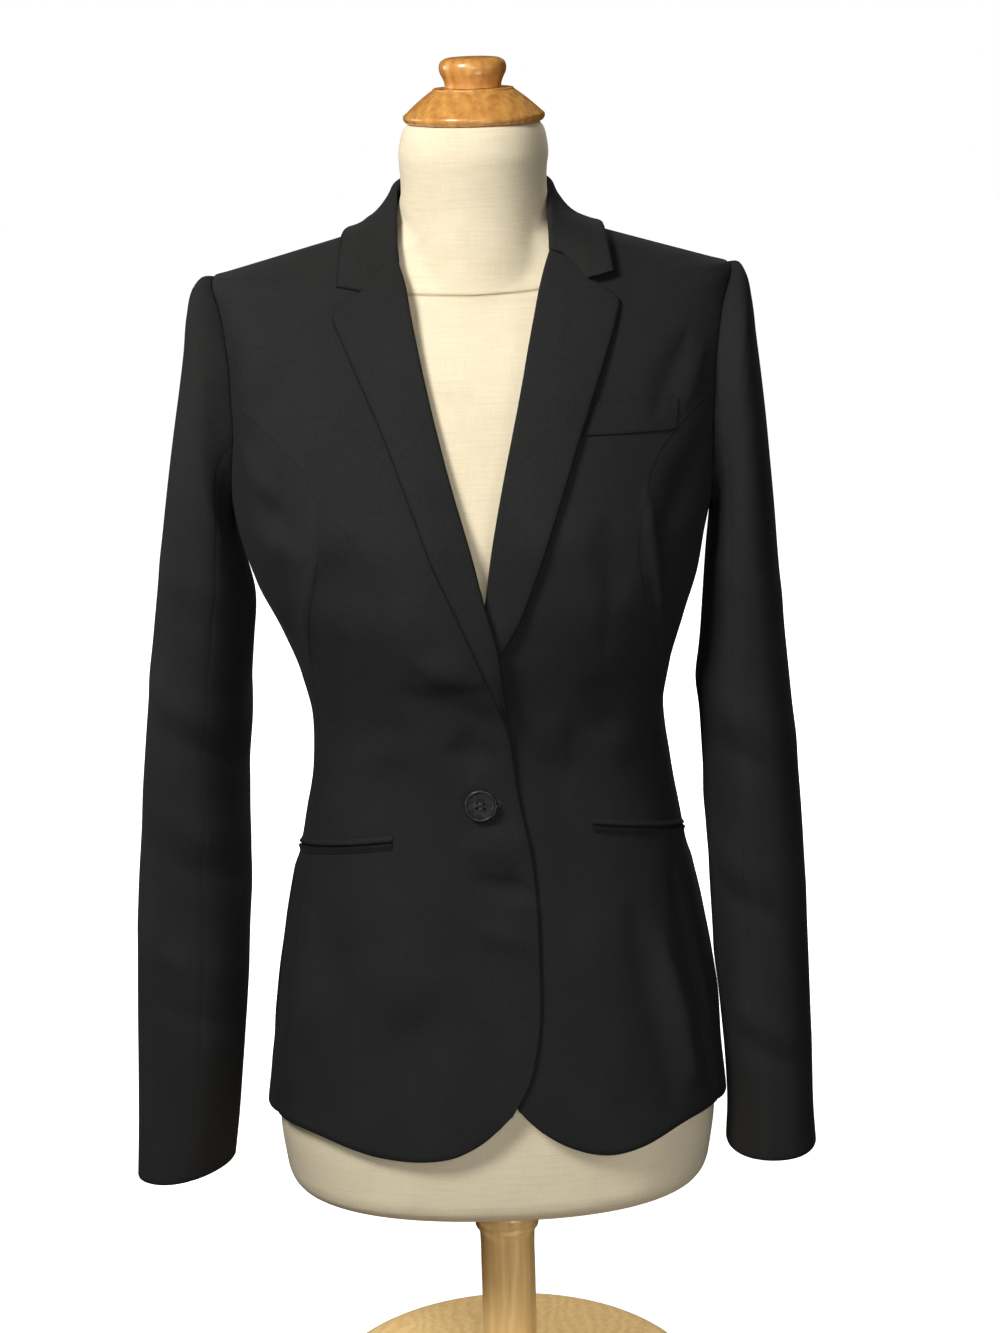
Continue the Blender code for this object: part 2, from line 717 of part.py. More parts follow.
def add_object(name, vertices, faces, colour, roughness):
    """Closed mesh object with its faces pointing out, shaded smooth."""
    mesh = bpy.data.meshes.new(name)
    if signed_volume(vertices, faces) < 0.0:
        faces = [face[::-1] for face in faces]
    mesh.from_pydata([tuple(v) for v in vertices], [], faces)
    mesh.shade_smooth()
    mesh.set_sharp_from_angle(angle=math.radians(40.0))
    mesh.materials.append(material(name, colour, roughness))
    made = bpy.data.objects.new(name, mesh)
    bpy.context.scene.collection.objects.link(made)
    return made


def add_wall(name, outer, inner, colour=CLOTH_COLOUR, roughness=0.85):
    """Closed wall between two grids of the same size."""
    rows, columns = outer.shape[:2]
    count = rows * columns
    vertices = np.vstack([outer.reshape(-1, 3), inner.reshape(-1, 3)])
    index = np.arange(count).reshape(rows, columns)
    faces = []
    for r in range(rows - 1):
        for c in range(columns - 1):
            quad = [int(i) for i in (index[r, c], index[r, c + 1], index[r + 1, c + 1], index[r + 1, c])]
            one_way = np.linalg.norm(vertices[quad[2]] - vertices[quad[0]])
            other_way = np.linalg.norm(vertices[quad[3]] - vertices[quad[1]])
            if other_way < one_way:
                quad = quad[1:] + quad[:1]
            for corner in ((0, 1, 2), (0, 2, 3)):
                faces.append(tuple(quad[i] for i in corner))
                faces.append(tuple(quad[i] + count for i in reversed(corner)))
    rim = np.concatenate([index[0, :-1], index[:-1, -1], index[-1, :0:-1], index[:0:-1, 0]])
    for a, b in zip(rim, np.roll(rim, -1)):
        faces.append((int(b), int(a), int(a) + count, int(b) + count))
    return add_object(name, vertices, faces, colour, roughness)


def add_loft(name, rings, colour, roughness):
    """Closed solid through rings with the same number of points, capped flat."""
    rings = np.asarray(rings)
    count = rings.shape[1]
    faces = []
    for r in range(len(rings) - 1):
        for c in range(count):
            d = (c + 1) % count
            faces.append((r * count + c, r * count + d, (r + 1) * count + d, (r + 1) * count + c))
    faces.append(tuple(reversed(range(count))))
    faces.append(tuple(range((len(rings) - 1) * count, len(rings) * count)))
    return add_object(name, rings.reshape(-1, 3), faces, colour, roughness)


def add_turned(name, profile, colour, roughness, mid_x=0.0, sides=TURNED_SIDES):
    """Turned piece: a profile carried round an upright axis."""
    angle = np.linspace(0.0, 2.0 * np.pi, sides, endpoint=False)
    rings = []
    for radius, height in zip(profile["radius"], profile["height"]):
        rings.append(np.stack([mid_x + radius * np.cos(angle), radius * np.sin(angle),
                               height + 0.0 * angle], axis=1))
    return add_loft(name, rings, colour, roughness)


# ---------------------------------------------------------------- body panels
def add_panel(name, grid, lift, gaps, wall=WALL):
    """Panel of cloth over a grid of (girth, height) places."""
    girth = grid[..., 0]
    height = grid[..., 1]
    outer = cloth_point(girth, height, lift)
    inner = cloth_point(girth, height, lift - wall)
    return add_wall(name, pull_in(outer, gaps), pull_in(inner, gaps))


def row_shares():
    """Shares of a panel's side that lie in the seam and in the armhole."""
    seam = np.linspace(0.0, 1.0, SIDE_ROWS + 1)
    arm = np.sin(np.linspace(0.0, 0.5 * np.pi, ARM_ROWS + 1))
    return seam, arm


def side_curve(seam, armhole):
    """Seam rows, then armhole rows, as places; the two share the corner."""
    seam_share, arm_share = row_shares()
    lower = run_through(places(seam), seam_share, PLACE_SCALE)
    upper = run_through(places(armhole), arm_share, PLACE_SCALE)
    return np.vstack([lower, upper[1:]])


def curve_at_heights(rows, heights):
    """Read a curve that always climbs at given heights."""
    dense = run_through(rows, np.linspace(0.0, 1.0, 400), PLACE_SCALE)
    return np.stack([np.interp(heights, dense[:, 1], dense[:, 0]), heights], axis=1)


def matched_heights(start, end, side_rows):
    """Heights for the inner edge that climb in step with the side's rows."""
    corner = side_rows[SIDE_ROWS, 1]
    lower = np.linspace(start, corner, SIDE_ROWS + 1)
    upper = np.interp(side_rows[SIDE_ROWS + 1:, 1], [corner, side_rows[-1, 1]], [corner, end])
    return np.concatenate([lower, upper])


def front_edge_places(side):
    """Front edge, roll line and neckline of one front, in the wearer's own half."""
    rows = places(OVER_EDGE if side < 0 else UNDER_EDGE)
    neck = mirrored(np.array([[60.0, 0.9468], [90.0, NECK_POINT_HEIGHT]]), side)
    return np.vstack([rows, neck])


def shoulder_seam(side, columns):
    """Shoulder seam from the neck point to the tip, rows of (girth, height)."""
    height = np.linspace(NECK_POINT_HEIGHT, SHOULDER_TIP_HEIGHT, columns)
    width = smooth(BODY["height"], BODY["half_width"], height)
    even = np.linspace(width[0], width[-1], columns)
    fine = np.linspace(NECK_POINT_HEIGHT, SHOULDER_TIP_HEIGHT, 200)
    fine_width = smooth(BODY["height"], BODY["half_width"], fine)
    height = np.interp(even, fine_width, fine)
    return np.stack([np.full(columns, side * 90.0), height], axis=1)


def front_grid(side):
    """Places of a front panel: rows climb from the hem, columns run to the side."""
    right = mirrored(side_curve(side_front_seam(side), ARMHOLE_FRONT), side)
    edge = front_edge_places(side)
    heights = matched_heights(edge[0, 1], NECK_POINT_HEIGHT, right)
    left = curve_at_heights(edge, heights)
    hem_rows = places(OVER_HEM if side < 0 else UNDER_HEM)
    hem_rows = np.vstack([hem_rows, right[:1]])
    bottom = run_through(hem_rows, np.linspace(0.0, 1.0, FRONT_COLUMNS + 1), PLACE_SCALE)
    top = shoulder_seam(side, FRONT_COLUMNS + 1)
    return coons(left, right, bottom, top)


def side_grid(side):
    """Places of a side panel, from its front seam to its back seam."""
    seam_share, _ = row_shares()
    left = run_through(places(side_front_seam(side)), seam_share, PLACE_SCALE)
    right = run_through(places(SIDE_BACK_SEAM), seam_share, PLACE_SCALE)
    even = np.linspace(0.0, 1.0, SIDE_COLUMNS + 1)
    bottom = run_through(places(SIDE_HEM), even, PLACE_SCALE)
    top = run_through(places(ARMHOLE_UNDER), even, PLACE_SCALE)
    return mirrored(coons(left, right, bottom, top), side)


def back_grid(side):
    """Places of a back panel, from its side seam to the centre back."""
    left = side_curve(SIDE_BACK_SEAM, ARMHOLE_BACK)
    centre = places(CENTRE_BACK_SEAM)
    heights = matched_heights(centre[0, 1], centre[-1, 1], left)
    right = curve_at_heights(centre, heights)
    even = np.linspace(0.0, 1.0, BACK_COLUMNS + 1)
    bottom = run_through(places(BACK_HEM), even, PLACE_SCALE)
    shoulder = shoulder_seam(1, BACK_COLUMNS - 2)[::-1]
    neck = run_through(places(BACK_NECK), np.linspace(0.0, 1.0, 4), PLACE_SCALE)
    top = np.vstack([shoulder, neck[1:]])
    return mirrored(coons(left, right, bottom, top), side)


def gorge_places(side, tip):
    """Gorge seam from the roll line to the notch, then out to a free tip."""
    out = np.append(GORGE["out"], tip[0])
    height = np.append(GORGE["height"], tip[1])
    if side > 0:
        height = height + LEFT_RISE
    return np.stack([girth_at(COLLAR_MIDDLE + side * out, height), height], axis=1)


# ---------------------------------------------------------------- lapels
def lapel_grid(side):
    """Places of a lapel: rows climb from the break, columns run to its outer edge."""
    gorge = gorge_places(side, LAPEL_TIP)
    even = np.linspace(0.0, 1.0, LAPEL_ROWS + 1)
    heights = LAPEL_FOOT_HEIGHT + (gorge[0, 1] - LAPEL_FOOT_HEIGHT) * even
    roll = curve_at_heights(front_edge_places(side), heights)
    edge = places(OVER_LAPEL_EDGE if side < 0 else UNDER_LAPEL_EDGE)
    outer = run_through(np.vstack([edge, gorge[-1:]]), even, PLACE_SCALE)
    bottom = roll[0] + (outer[0] - roll[0]) * np.linspace(0.0, 1.0, LAPEL_COLUMNS + 1)[:, None]
    gorge[0] = roll[-1]
    return coons(roll, outer, bottom, gorge)


def lapel_lift(side, grid):
    """Lift of a lapel over its own front panel."""
    u = np.linspace(0.0, 1.0, grid.shape[1])[None, :]
    clear = LAPEL_CLEAR_EDGE + (LAPEL_CLEAR_MID - LAPEL_CLEAR_EDGE) * 4 * u * (1 - u)
    return front_lift(side, grid[..., 0], grid[..., 1]) + WALL + clear


# ---------------------------------------------------------------- collar
def grid_direction(grid):
    """Direction of a grid's own surface, pointing away from the neck and arms."""
    across = np.gradient(grid, axis=1)
    along = np.gradient(grid, axis=0)
    return unit(np.cross(across, along))


def both_halves(columns):
    """Collar curve from the wearer's right front end, round the back, to the left."""
    rise = LEFT_RISE * ramp(-columns["y"], 0.0, 0.040)
    right = np.stack([COLLAR_MIDDLE - columns["out"], columns["y"], columns["height"]], axis=1)
    left = np.stack([COLLAR_MIDDLE + columns["out"], columns["y"], columns["height"] + rise], axis=1)
    return np.vstack([right, left[-2::-1]])


def shoulder_height(x, y):
    """Height of the top of the shoulders and chest at a place seen from above."""
    low = np.full(np.shape(x), 0.700)
    high = np.full(np.shape(x), 1.000)
    for _ in range(24):
        middle = 0.5 * (low + high)
        half_width, mid_x, mid_y, front, back, square = section(middle)
        depth = np.where(y < mid_y, front, back)
        reach = np.abs((x - mid_x) / half_width) ** square + np.abs((y - mid_y) / depth) ** square
        low = np.where(reach < 1.0, middle, low)
        high = np.where(reach < 1.0, high, middle)
    return low


def push_out(points, clear):
    """Move points out until they stand at least this far off the shoulders."""
    moved = points.copy()
    step = 0.008
    x = moved[..., 0]
    y = moved[..., 1]
    height = shoulder_height(x, y)
    slope_x = (shoulder_height(x + step, y) - shoulder_height(x - step, y)) / (2 * step)
    slope_y = (shoulder_height(x, y + step) - shoulder_height(x, y - step)) / (2 * step)
    steep = np.sqrt(1.0 + slope_x**2 + slope_y**2)
    direction = np.stack([-slope_x, -slope_y, np.ones(x.shape)], axis=-1) / steep[..., None]
    short = np.maximum(clear - (moved[..., 2] - height) / steep, 0.0)
    return moved + direction * short[..., None]


def collar_end(side):
    """End of the collar on the chest: gorge seam, then the free edge to the tip."""
    rows = gorge_places(side, COLLAR_TIP)
    lift = front_lift(side, rows[:, 0], rows[:, 1]) + COLLAR_CLEAR
    return cloth_point(rows[:, 0], rows[:, 1], lift)


def build_collar():
    """Collar leaf over the shoulders, and the stand inside it."""
    even = np.linspace(0.0, 1.0, COLLAR_STATIONS + 1)
    fold = run_through(both_halves(COLLAR_FOLD), even)
    leaf = run_through(both_halves(COLLAR_LEAF), even)
    share = np.linspace(0.0, 1.0, COLLAR_ROWS + 1)
    start = collar_end(-1)
    end = collar_end(1)
    fold[0], leaf[0], fold[-1], leaf[-1] = start[0], start[-1], end[0], end[-1]
    grid = coons(fold, leaf, start, end)
    centre = np.array([COLLAR_MIDDLE, 0.0, 0.0])
    inward = unit((centre - grid) * np.array([1.0, 1.0, 0.0])) * 0.7 + np.array([0.0, 0.0, -0.7])
    behind_chest = ramp(grid[..., 1], -0.040, -0.005)
    grid = grid + inward * (COLLAR_SAG * 4 * share * (1 - share) * behind_chest)[..., None]
    spare = COLLAR_SPARE * ramp(np.minimum(even, 1.0 - even), 0.0, 0.10)[:, None]
    grid = push_out(grid, COLLAR_CLEAR + spare)
    gaps = (0.0, 0.0, SEAM_GAP, SEAM_GAP)
    outward = -grid_direction(grid)
    add_wall("collar_leaf", pull_in(grid, gaps), pull_in(grid - outward * WALL, gaps))

    girth = np.linspace(-STAND_FRONT_GIRTH, STAND_FRONT_GIRTH - 360.0, STAND_STATIONS + 1)
    seam = smooth(NECK_SEAM["girth"], NECK_SEAM["height"], np.minimum(-girth, 360.0 + girth))
    foot = cloth_point(girth, seam + 3 * SEAM_GAP)
    top_share = np.linspace(0.075, 0.925, STAND_STATIONS + 1)
    top = run_through(both_halves(COLLAR_FOLD), top_share)
    top = top + unit((centre - top) * np.array([1.0, 1.0, 0.0])) * STAND_INSET
    rise = np.linspace(0.0, 1.0, STAND_ROWS + 1)[None, :, None]
    stand = foot[:, None] * (1 - rise) + top[:, None] * rise
    add_wall("collar_stand", stand, stand - grid_direction(stand) * WALL)


# ---------------------------------------------------------------- sleeves
def armhole_places(side):
    """Armhole round from the shoulder tip: front, under the arm, back."""
    front = side_curve(side_front_seam(side), ARMHOLE_FRONT)[SIDE_ROWS:][::-1]
    under = run_through(places(ARMHOLE_UNDER), np.linspace(0.0, 1.0, SIDE_COLUMNS + 1), PLACE_SCALE)
    back = side_curve(SIDE_BACK_SEAM, ARMHOLE_BACK)[SIDE_ROWS:]
    return mirrored(np.vstack([front, under[1:], back[1:-1]]), side)


def sleeve_folds(side, turn, height):
    """Rise of the soft diagonal folds of a sleeve."""
    total = np.zeros(np.shape(height))
    for i in range(len(SLEEVE_FOLDS["rise"])):
        line = SLEEVE_FOLDS["height"][i] + side * SLEEVE_FOLDS["slope"][i] * (turn - 90.0)
        here = np.exp(-((height - line) / SLEEVE_FOLDS["spread"][i]) ** 2)
        total += SLEEVE_FOLDS["rise"][i] * here * (0.65 + 0.35 * np.cos(np.radians(turn - 100.0)))
    return total


def sleeve_faces(side, rings):
    """Outer and inner grids of a whole sleeve; columns run round from the tip."""
    hole = armhole_places(side)
    hole_outer = cloth_point(hole[:, 0], hole[:, 1])
    steps = np.linalg.norm(np.roll(hole_outer, -1, axis=0) - hole_outer, axis=1)
    turn = 360.0 * np.concatenate([[0.0], np.cumsum(steps)[:-1]]) / steps.sum()
    grid = []
    for i in range(len(rings["turn"])):
        around = np.radians(turn + rings["turn"][i])
        across = np.sign(np.cos(around)) * np.abs(np.cos(around)) ** (2.0 / SLEEVE_SQUARE)
        depth = np.sign(np.sin(around)) * np.abs(np.sin(around)) ** (2.0 / SLEEVE_SQUARE)
        outer = np.array([rings["outer_x"][i], rings["mid_y"][i], rings["outer_height"][i]])
        inner = np.array([rings["inner_x"][i], rings["mid_y"][i], rings["inner_height"][i]])
        half = 0.5 * (outer - inner)
        half_depth = rings["half_depth"][i]
        twist = math.radians(rings["turn"][i])
        kept = math.sqrt(half[0] ** 2 - (half_depth * math.sin(twist)) ** 2) / math.cos(twist)
        half[0] = math.copysign(kept, half[0])
        local = across[:, None] * half + depth[:, None] * np.array([0.0, -half_depth, 0.0])
        x = local[:, 0] * math.cos(twist) + side * -local[:, 1] * math.sin(twist)
        y = local[:, 1] * math.cos(twist) + side * local[:, 0] * math.sin(twist)
        ring = 0.5 * (outer + inner) + np.stack([x, y, local[:, 2]], axis=1)
        if i == 0:
            leftover = hole_outer - ring
        grid.append(ring + rings["keep"][i] * leftover)
    grid = np.array(grid)
    closed = np.concatenate([grid[:, -1:], grid, grid[:, :1]], axis=1)
    direction = grid_direction(closed)[:, 1:-1] * side
    shown = ramp(-grid[..., 2], -0.760, -0.700)
    grid = grid + direction * (sleeve_folds(side, turn, grid[..., 2]) * shown)[..., None]
    inner = grid - direction * WALL
    body = bare_direction(hole[:, 0], hole[:, 1])
    along = unit(grid[1] - hole_outer)
    turned = 0.5 - 0.5 * np.sum(body * direction[1], axis=1, keepdims=True)
    grid[0] = hole_outer + SEAM_GAP * unit(along * (1.0 - turned) + 1.5 * body * turned)
    up = np.array([0.0, 0.0, 1.0])
    inner[0] = grid[0] - WALL * unit(body + direction[1] - 3.0 * up * turned)
    return grid, inner


def build_sleeve(side, word, rings):
    """Top sleeve and under sleeve of one arm, seamed at the front and the back."""
    outer, inner = sleeve_faces(side, rings)
    count = outer.shape[1]
    gaps = (2 * SEAM_GAP, 2 * SEAM_GAP, 0.0, 0.0)
    for name, first, last in (("under_sleeve", SLEEVE_FRONT_SEAM, SLEEVE_BACK_SEAM),
                              ("top_sleeve", SLEEVE_BACK_SEAM, count + SLEEVE_FRONT_SEAM)):
        pick = np.arange(first, last + 1) % count
        add_wall(f"{word}_{name}", pull_in(outer[:, pick], gaps), pull_in(inner[:, pick], gaps))


# ---------------------------------------------------------------- pockets and button
def build_jets(side, word, slit_heights):
    """Upper and lower jet of one hip pocket."""
    share = np.linspace(0.0, 1.0, JET_COLUMNS + 1)
    girth = side * (POCKET_INNER_GIRTH + (POCKET_OUTER_GIRTH - POCKET_INNER_GIRTH) * share)
    slit = slit_heights[0] + (slit_heights[1] - slit_heights[0]) * share
    for name, low, high in (("upper_jet", 0.5 * SLIT, 0.5 * SLIT + JET_WIDTH),
                            ("lower_jet", -0.5 * SLIT - JET_WIDTH, -0.5 * SLIT)):
        grid = np.stack([np.stack([girth, slit + low], axis=1),
                         np.stack([girth, slit + high], axis=1)])
        lift = front_lift(side, grid[..., 0], grid[..., 1]) + JET_RISE + JET_WALL
        outer = cloth_point(grid[..., 0], grid[..., 1], lift)
        inner = cloth_point(grid[..., 0], grid[..., 1], lift - JET_WALL)
        add_wall(f"{word}_{name}", outer, inner)


def build_welt():
    """Slanted chest welt on the wearer's left."""
    corners = places(WELT_CORNERS)
    u = np.linspace(0.0, 1.0, 6)[:, None]
    low = corners[0] + (corners[1] - corners[0]) * u
    high = corners[3] + (corners[2] - corners[3]) * u
    v = np.linspace(0.0, 1.0, 3)[:, None, None]
    grid = low[None] * (1 - v) + high[None] * v
    lift = WELT_RISE + WELT_WALL
    outer = cloth_point(grid[..., 0], grid[..., 1], lift)
    inner = cloth_point(grid[..., 0], grid[..., 1], lift - WELT_WALL)
    add_wall("chest_welt", outer, inner)


def build_button():
    """Dished button with a rolled rim and four holes, flat against the right front."""
    x, height = BUTTON_PLACE
    around = np.linspace(0.0, 2 * np.pi, 16, endpoint=False)
    rim_height = height + BUTTON_RADIUS * np.sin(around)
    rim_girth = girth_at(x + BUTTON_RADIUS * np.cos(around), rim_height)
    rim = cloth_point(rim_girth, rim_height, front_lift(-1, rim_girth, rim_height))
    place = rim.mean(axis=0)
    direction = unit(np.cross(rim[0] - rim[8], rim[4] - rim[12]))
    place = place + direction * (np.max((rim - place) @ direction) + BUTTON_CLEAR)
    side_way = unit(np.cross(np.array([0.0, 0.0, 1.0]), direction))
    up_way = np.cross(direction, side_way)
    dish = BUTTON_THICK - BUTTON_DISH
    rim_in = BUTTON_RADIUS - BUTTON_RIM
    profile = ((0.80 * BUTTON_RADIUS, 0.0), (BUTTON_RADIUS, 0.35 * BUTTON_THICK),
               (BUTTON_RADIUS, 0.70 * BUTTON_THICK), (BUTTON_RADIUS - 0.4 * BUTTON_RIM, BUTTON_THICK),
               (rim_in + 0.3 * BUTTON_RIM, BUTTON_THICK), (rim_in, dish), (0.45 * rim_in, dish - 0.0002))
    angle = np.linspace(0.0, 2 * np.pi, BUTTON_SIDES, endpoint=False)
    rings = [place + radius * (np.cos(angle)[:, None] * side_way + np.sin(angle)[:, None] * up_way)
             + rise * direction for radius, rise in profile]
    button = add_loft("button", rings, BUTTON_COLOUR, 0.30)
    cutters = []
    for number, (a, b) in enumerate(((-1, -1), (1, -1), (1, 1), (-1, 1))):
        offset = BUTTON_HOLE_SPREAD * (a * side_way + b * up_way)
        hole_angle = np.linspace(0.0, 2 * np.pi, 8, endpoint=False)
        circle = (np.cos(hole_angle)[:, None] * side_way
                  + np.sin(hole_angle)[:, None] * up_way) * BUTTON_HOLE_RADIUS
        cutter = add_loft(f"hole_{number}", [place + offset + circle - 0.002 * direction,
                                             place + offset + circle + 0.006 * direction],
                          BUTTON_COLOUR, 0.30)
        cut = button.modifiers.new(f"hole_{number}", "BOOLEAN")
        cut.operation = "DIFFERENCE"
        cut.object = cutter
        cutters.append(cutter)
    finished = button.evaluated_get(bpy.context.evaluated_depsgraph_get())
    button.data = bpy.data.meshes.new_from_object(finished)
    button.modifiers.clear()
    for cutter in cutters:
        bpy.data.objects.remove(cutter, do_unlink=True)


# ---------------------------------------------------------------- form and stand
def form_ring(height, inset):
    """Section of the form's torso, just inside the cloth."""
    girth = np.linspace(-180.0, 180.0, FORM_POINTS, endpoint=False)
    level = height + 0.0 * girth
    ridge = 1.0 - ramp(np.abs(np.abs(girth) - 90.0), 0.0, 20.0)
    sloped = ramp(level, 0.850, 0.900) * (1.0 - ramp(level, 0.950, 0.970))
    more = np.where(np.abs(girth) > 90.0, BLADE_SPACE, SHOULDER_SPACE)
    space = WALL + smooth(EASE["height"], EASE["space"], height) + inset
    space = space + more * sloped * (1.0 - ridge)
    return bare_point(girth, level) - bare_direction(girth, level) * space[:, None]


def build_form():
    """Torso and neck of the form in one closed body."""
    rings = []
    for height, inset in zip(FORM_ROUND["height"], FORM_ROUND["inset"]):
        ring = form_ring(height, inset)
        ring[:, 2] = height
        rings.append(ring)
    levels = np.concatenate([np.linspace(0.265, 0.870, 14),
                             (0.890, 0.903, 0.9115, 0.9165, 0.921, 0.927, 0.933, 0.9385, 0.944,
                              0.950, 0.957, 0.968)])
    for height in levels:
        rings.append(form_ring(height, 0.0))
    girth = np.radians(np.linspace(-180.0, 180.0, FORM_POINTS, endpoint=False))
    for radius, height, mid_x in zip(NECK["radius"], NECK["height"], NECK["mid_x"]):
        rings.append(np.stack([mid_x + radius * np.sin(girth), -0.001 - radius * np.cos(girth),
                               height + 0.0 * girth], axis=1))
    add_loft("form_torso", rings, LINEN_COLOUR, 0.85)


def build_stand():
    """Turned wooden pieces over and under the form."""
    add_turned("neck_cap", CAP_PROFILE, WOOD_COLOUR, 0.30)
    add_turned("cap_knob", KNOB_PROFILE, WOOD_COLOUR, 0.30)
    add_turned("pole", POLE_PROFILE, PALE_WOOD_COLOUR, 0.40)
    add_turned("base", BASE_PROFILE, PALE_WOOD_COLOUR, 0.40)


def build_jacket():
    """All the cut and sewn pieces of the jacket."""
    for side, word in ((-1, "right"), (1, "left")):
        grid = front_grid(side)
        add_panel(f"{word}_front", grid, front_lift(side, grid[..., 0], grid[..., 1]),
                  (0.0, SEAM_GAP, 0.0, SEAM_GAP))
        add_panel(f"{word}_side", side_grid(side), 0.0, (SEAM_GAP, SEAM_GAP, 0.0, SEAM_GAP))
        add_panel(f"{word}_back", back_grid(side), 0.0,
                  (SEAM_GAP, 0.5 * SEAM_GAP, 0.0, 2 * SEAM_GAP))
        grid = lapel_grid(side)
        add_panel(f"{word}_lapel", grid, lapel_lift(side, grid), (0.0, 0.0, 0.0, SEAM_GAP))
    build_collar()
    build_sleeve(-1, "right", RIGHT_SLEEVE)
    build_sleeve(1, "left", LEFT_SLEEVE)
    build_jets(-1, "right", RIGHT_POCKET)
    build_jets(1, "left", LEFT_POCKET)
    build_welt()
    build_button()


def main():
    """Clear the scene and build the dressed form."""
    for old in list(bpy.data.objects):
        bpy.data.objects.remove(old, do_unlink=True)
    build_jacket()
    build_form()
    build_stand()


main()
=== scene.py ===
"""Dressed model: single breasted blazer on a linen-covered form with a turned stand.

Metres, +Z up.  The garment's front faces -Y and the wearer's left is at +X.  Every
panel of cloth is a patch on one girth surface, given by its section at each height.
A place on it is a girth angle (0 at the centre front, 90 at the wearer's left side,
180 at the centre back, -90 at the wearer's right side) and a height.
"""
import logging
import math
from dataclasses import dataclass, field
from enum import Enum
from typing import Any

import bpy
import numpy as np
from mathutils import Matrix


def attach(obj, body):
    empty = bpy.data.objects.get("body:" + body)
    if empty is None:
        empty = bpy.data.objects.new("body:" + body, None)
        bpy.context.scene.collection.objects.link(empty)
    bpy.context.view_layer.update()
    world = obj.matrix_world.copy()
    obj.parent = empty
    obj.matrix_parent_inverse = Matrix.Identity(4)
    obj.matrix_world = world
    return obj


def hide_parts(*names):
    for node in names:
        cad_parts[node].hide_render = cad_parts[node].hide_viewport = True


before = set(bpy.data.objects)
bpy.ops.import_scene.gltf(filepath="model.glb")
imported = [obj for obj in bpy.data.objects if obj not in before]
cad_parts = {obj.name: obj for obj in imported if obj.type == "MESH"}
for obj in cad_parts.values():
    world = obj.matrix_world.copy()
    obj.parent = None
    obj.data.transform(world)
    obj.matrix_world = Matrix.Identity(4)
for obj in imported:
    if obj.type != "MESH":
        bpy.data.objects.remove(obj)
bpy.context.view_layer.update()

LOG = logging.getLogger("blazer")

Array = np.ndarray
Table = dict[str, Array]
Colour = tuple[float, float, float]
Socket = bpy.types.NodeSocket

BODY_NAME = "root"
WALL = 0.0018              # thickness of one layer of cloth
RIM = 0.5 * WALL           # radius of a rounded edge
SEAM_GAP = 0.00005         # half the space left between two sewn edges
SEWABLE = 0.0105           # least width of a strip that can be cut and sewn
GIRTH_PER_DEGREE = 0.0024  # mean length of one degree of girth
PLACE_SCALE = (GIRTH_PER_DEGREE, 1.0)
# Painted shade: the cloth's colour darkens in a line beside its edges and seams, standing in for the shade
# that falls there.
EDGE_SHADE_FADE = 0.004          # how far the darker line beside an edge reaches
FREE_EDGE_SHADE = 0.9            # how dark that line is at a free edge
SHARP_ANGLE = math.radians(60.0)
FORM_FOOT = 0.2100         # height of the form's underside
SPAN_STEPS = 48            # points on each span of a smooth curve
NORMAL_STEP = 0.0004       # step that finds the surface's own direction
MEAN_RADIUS = 0.12         # of the body's girth
UP = np.array([0.0, 0.0, 1.0])


class Side(Enum):
    """The wearer's two sides; the value is the sign of X."""

    RIGHT = -1
    LEFT = 1

    @property
    def word(self) -> str:
        """Word that starts this side's piece names."""
        return self.name.lower()

    def pick(self, right: Any, left: Any) -> Any:
        """The one of two values that belongs to this side."""
        return right if self is Side.RIGHT else left


class Slot(Enum):
    """Material slots of the record."""

    SUITING = "wool_suiting"
    BUTTON = "button"
    LINEN = "linen_cover"
    HONEY_WOOD = "turned_wood"
    PALE_WOOD = "pale_wood"


# ---------------------------------------------------------------- number helpers
def table(names: str, *rows: tuple[float, ...]) -> Table:
    """Named columns of a short table of numbers."""
    values = np.array(rows, dtype=float)
    return {name: values[:, index] for index, name in enumerate(names.split())}


def table_field(names: str, *rows: tuple[float, ...]) -> Any:
    """Dataclass field that holds a table."""
    return field(default_factory=lambda: table(names, *rows))


def shares(count: int) -> Array:
    """Numbers at even steps from 0 to 1."""
    return np.linspace(0.0, 1.0, count)


def hermite(t: Array, start: Array, end: Array, leave: Array, arrive: Array) -> Array:
    """Cubic from start to end with these end slopes, read at t from 0 to 1."""
    return ((2 * t**3 - 3 * t**2 + 1) * start + (t**3 - 2 * t**2 + t) * leave
            + (3 * t**2 - 2 * t**3) * end + (t**3 - t**2) * arrive)


def lengths(points: Array, axis: int) -> Array:
    """Lengths summed along an axis of a grid of points, from 0 at its first one."""
    steps = np.linalg.norm(np.diff(points, axis=axis), axis=-1)
    return np.insert(np.cumsum(steps, axis=axis), 0, 0.0, axis=axis)


def smooth(xs: Array, ys: Array, x: Array) -> Array:
    """Monotone cubic through the points (xs, ys), read at x.

    Each span is a Hermite cubic.  Its end slopes are the weighted harmonic means
    of the chords on both sides, and 0 where those chords change sign.

    Args:
        xs: Rising places.
        ys: Values there.
        x: Places to read, held inside the first and the last.

    Returns:
        Values at x.
    """
    step = np.diff(xs)
    slope = np.diff(ys) / step
    before = 2 * step[1:] + step[:-1]
    after = step[1:] + 2 * step[:-1]
    alike = slope[:-1] * slope[1:] > 0.0
    left, right = np.where(alike, slope[:-1], 1.0), np.where(alike, slope[1:], 1.0)
    between = np.where(alike, (before + after) / (before / left + after / right), 0.0)
    tangent = np.concatenate([slope[:1], between, slope[-1:]])
    x = np.clip(x, xs[0], xs[-1])
    k = np.clip(np.searchsorted(xs, x, side="right") - 1, 0, len(xs) - 2)
    return hermite((x - xs[k]) / step[k], ys[k], ys[k + 1], step[k] * tangent[k], step[k] * tangent[k + 1])


def read(source: Table, name: str, place: Array, key: str = "height") -> Array:
    """Smooth curve through a column of a table, read at places of the key column."""
    return smooth(source[key], source[name], place)


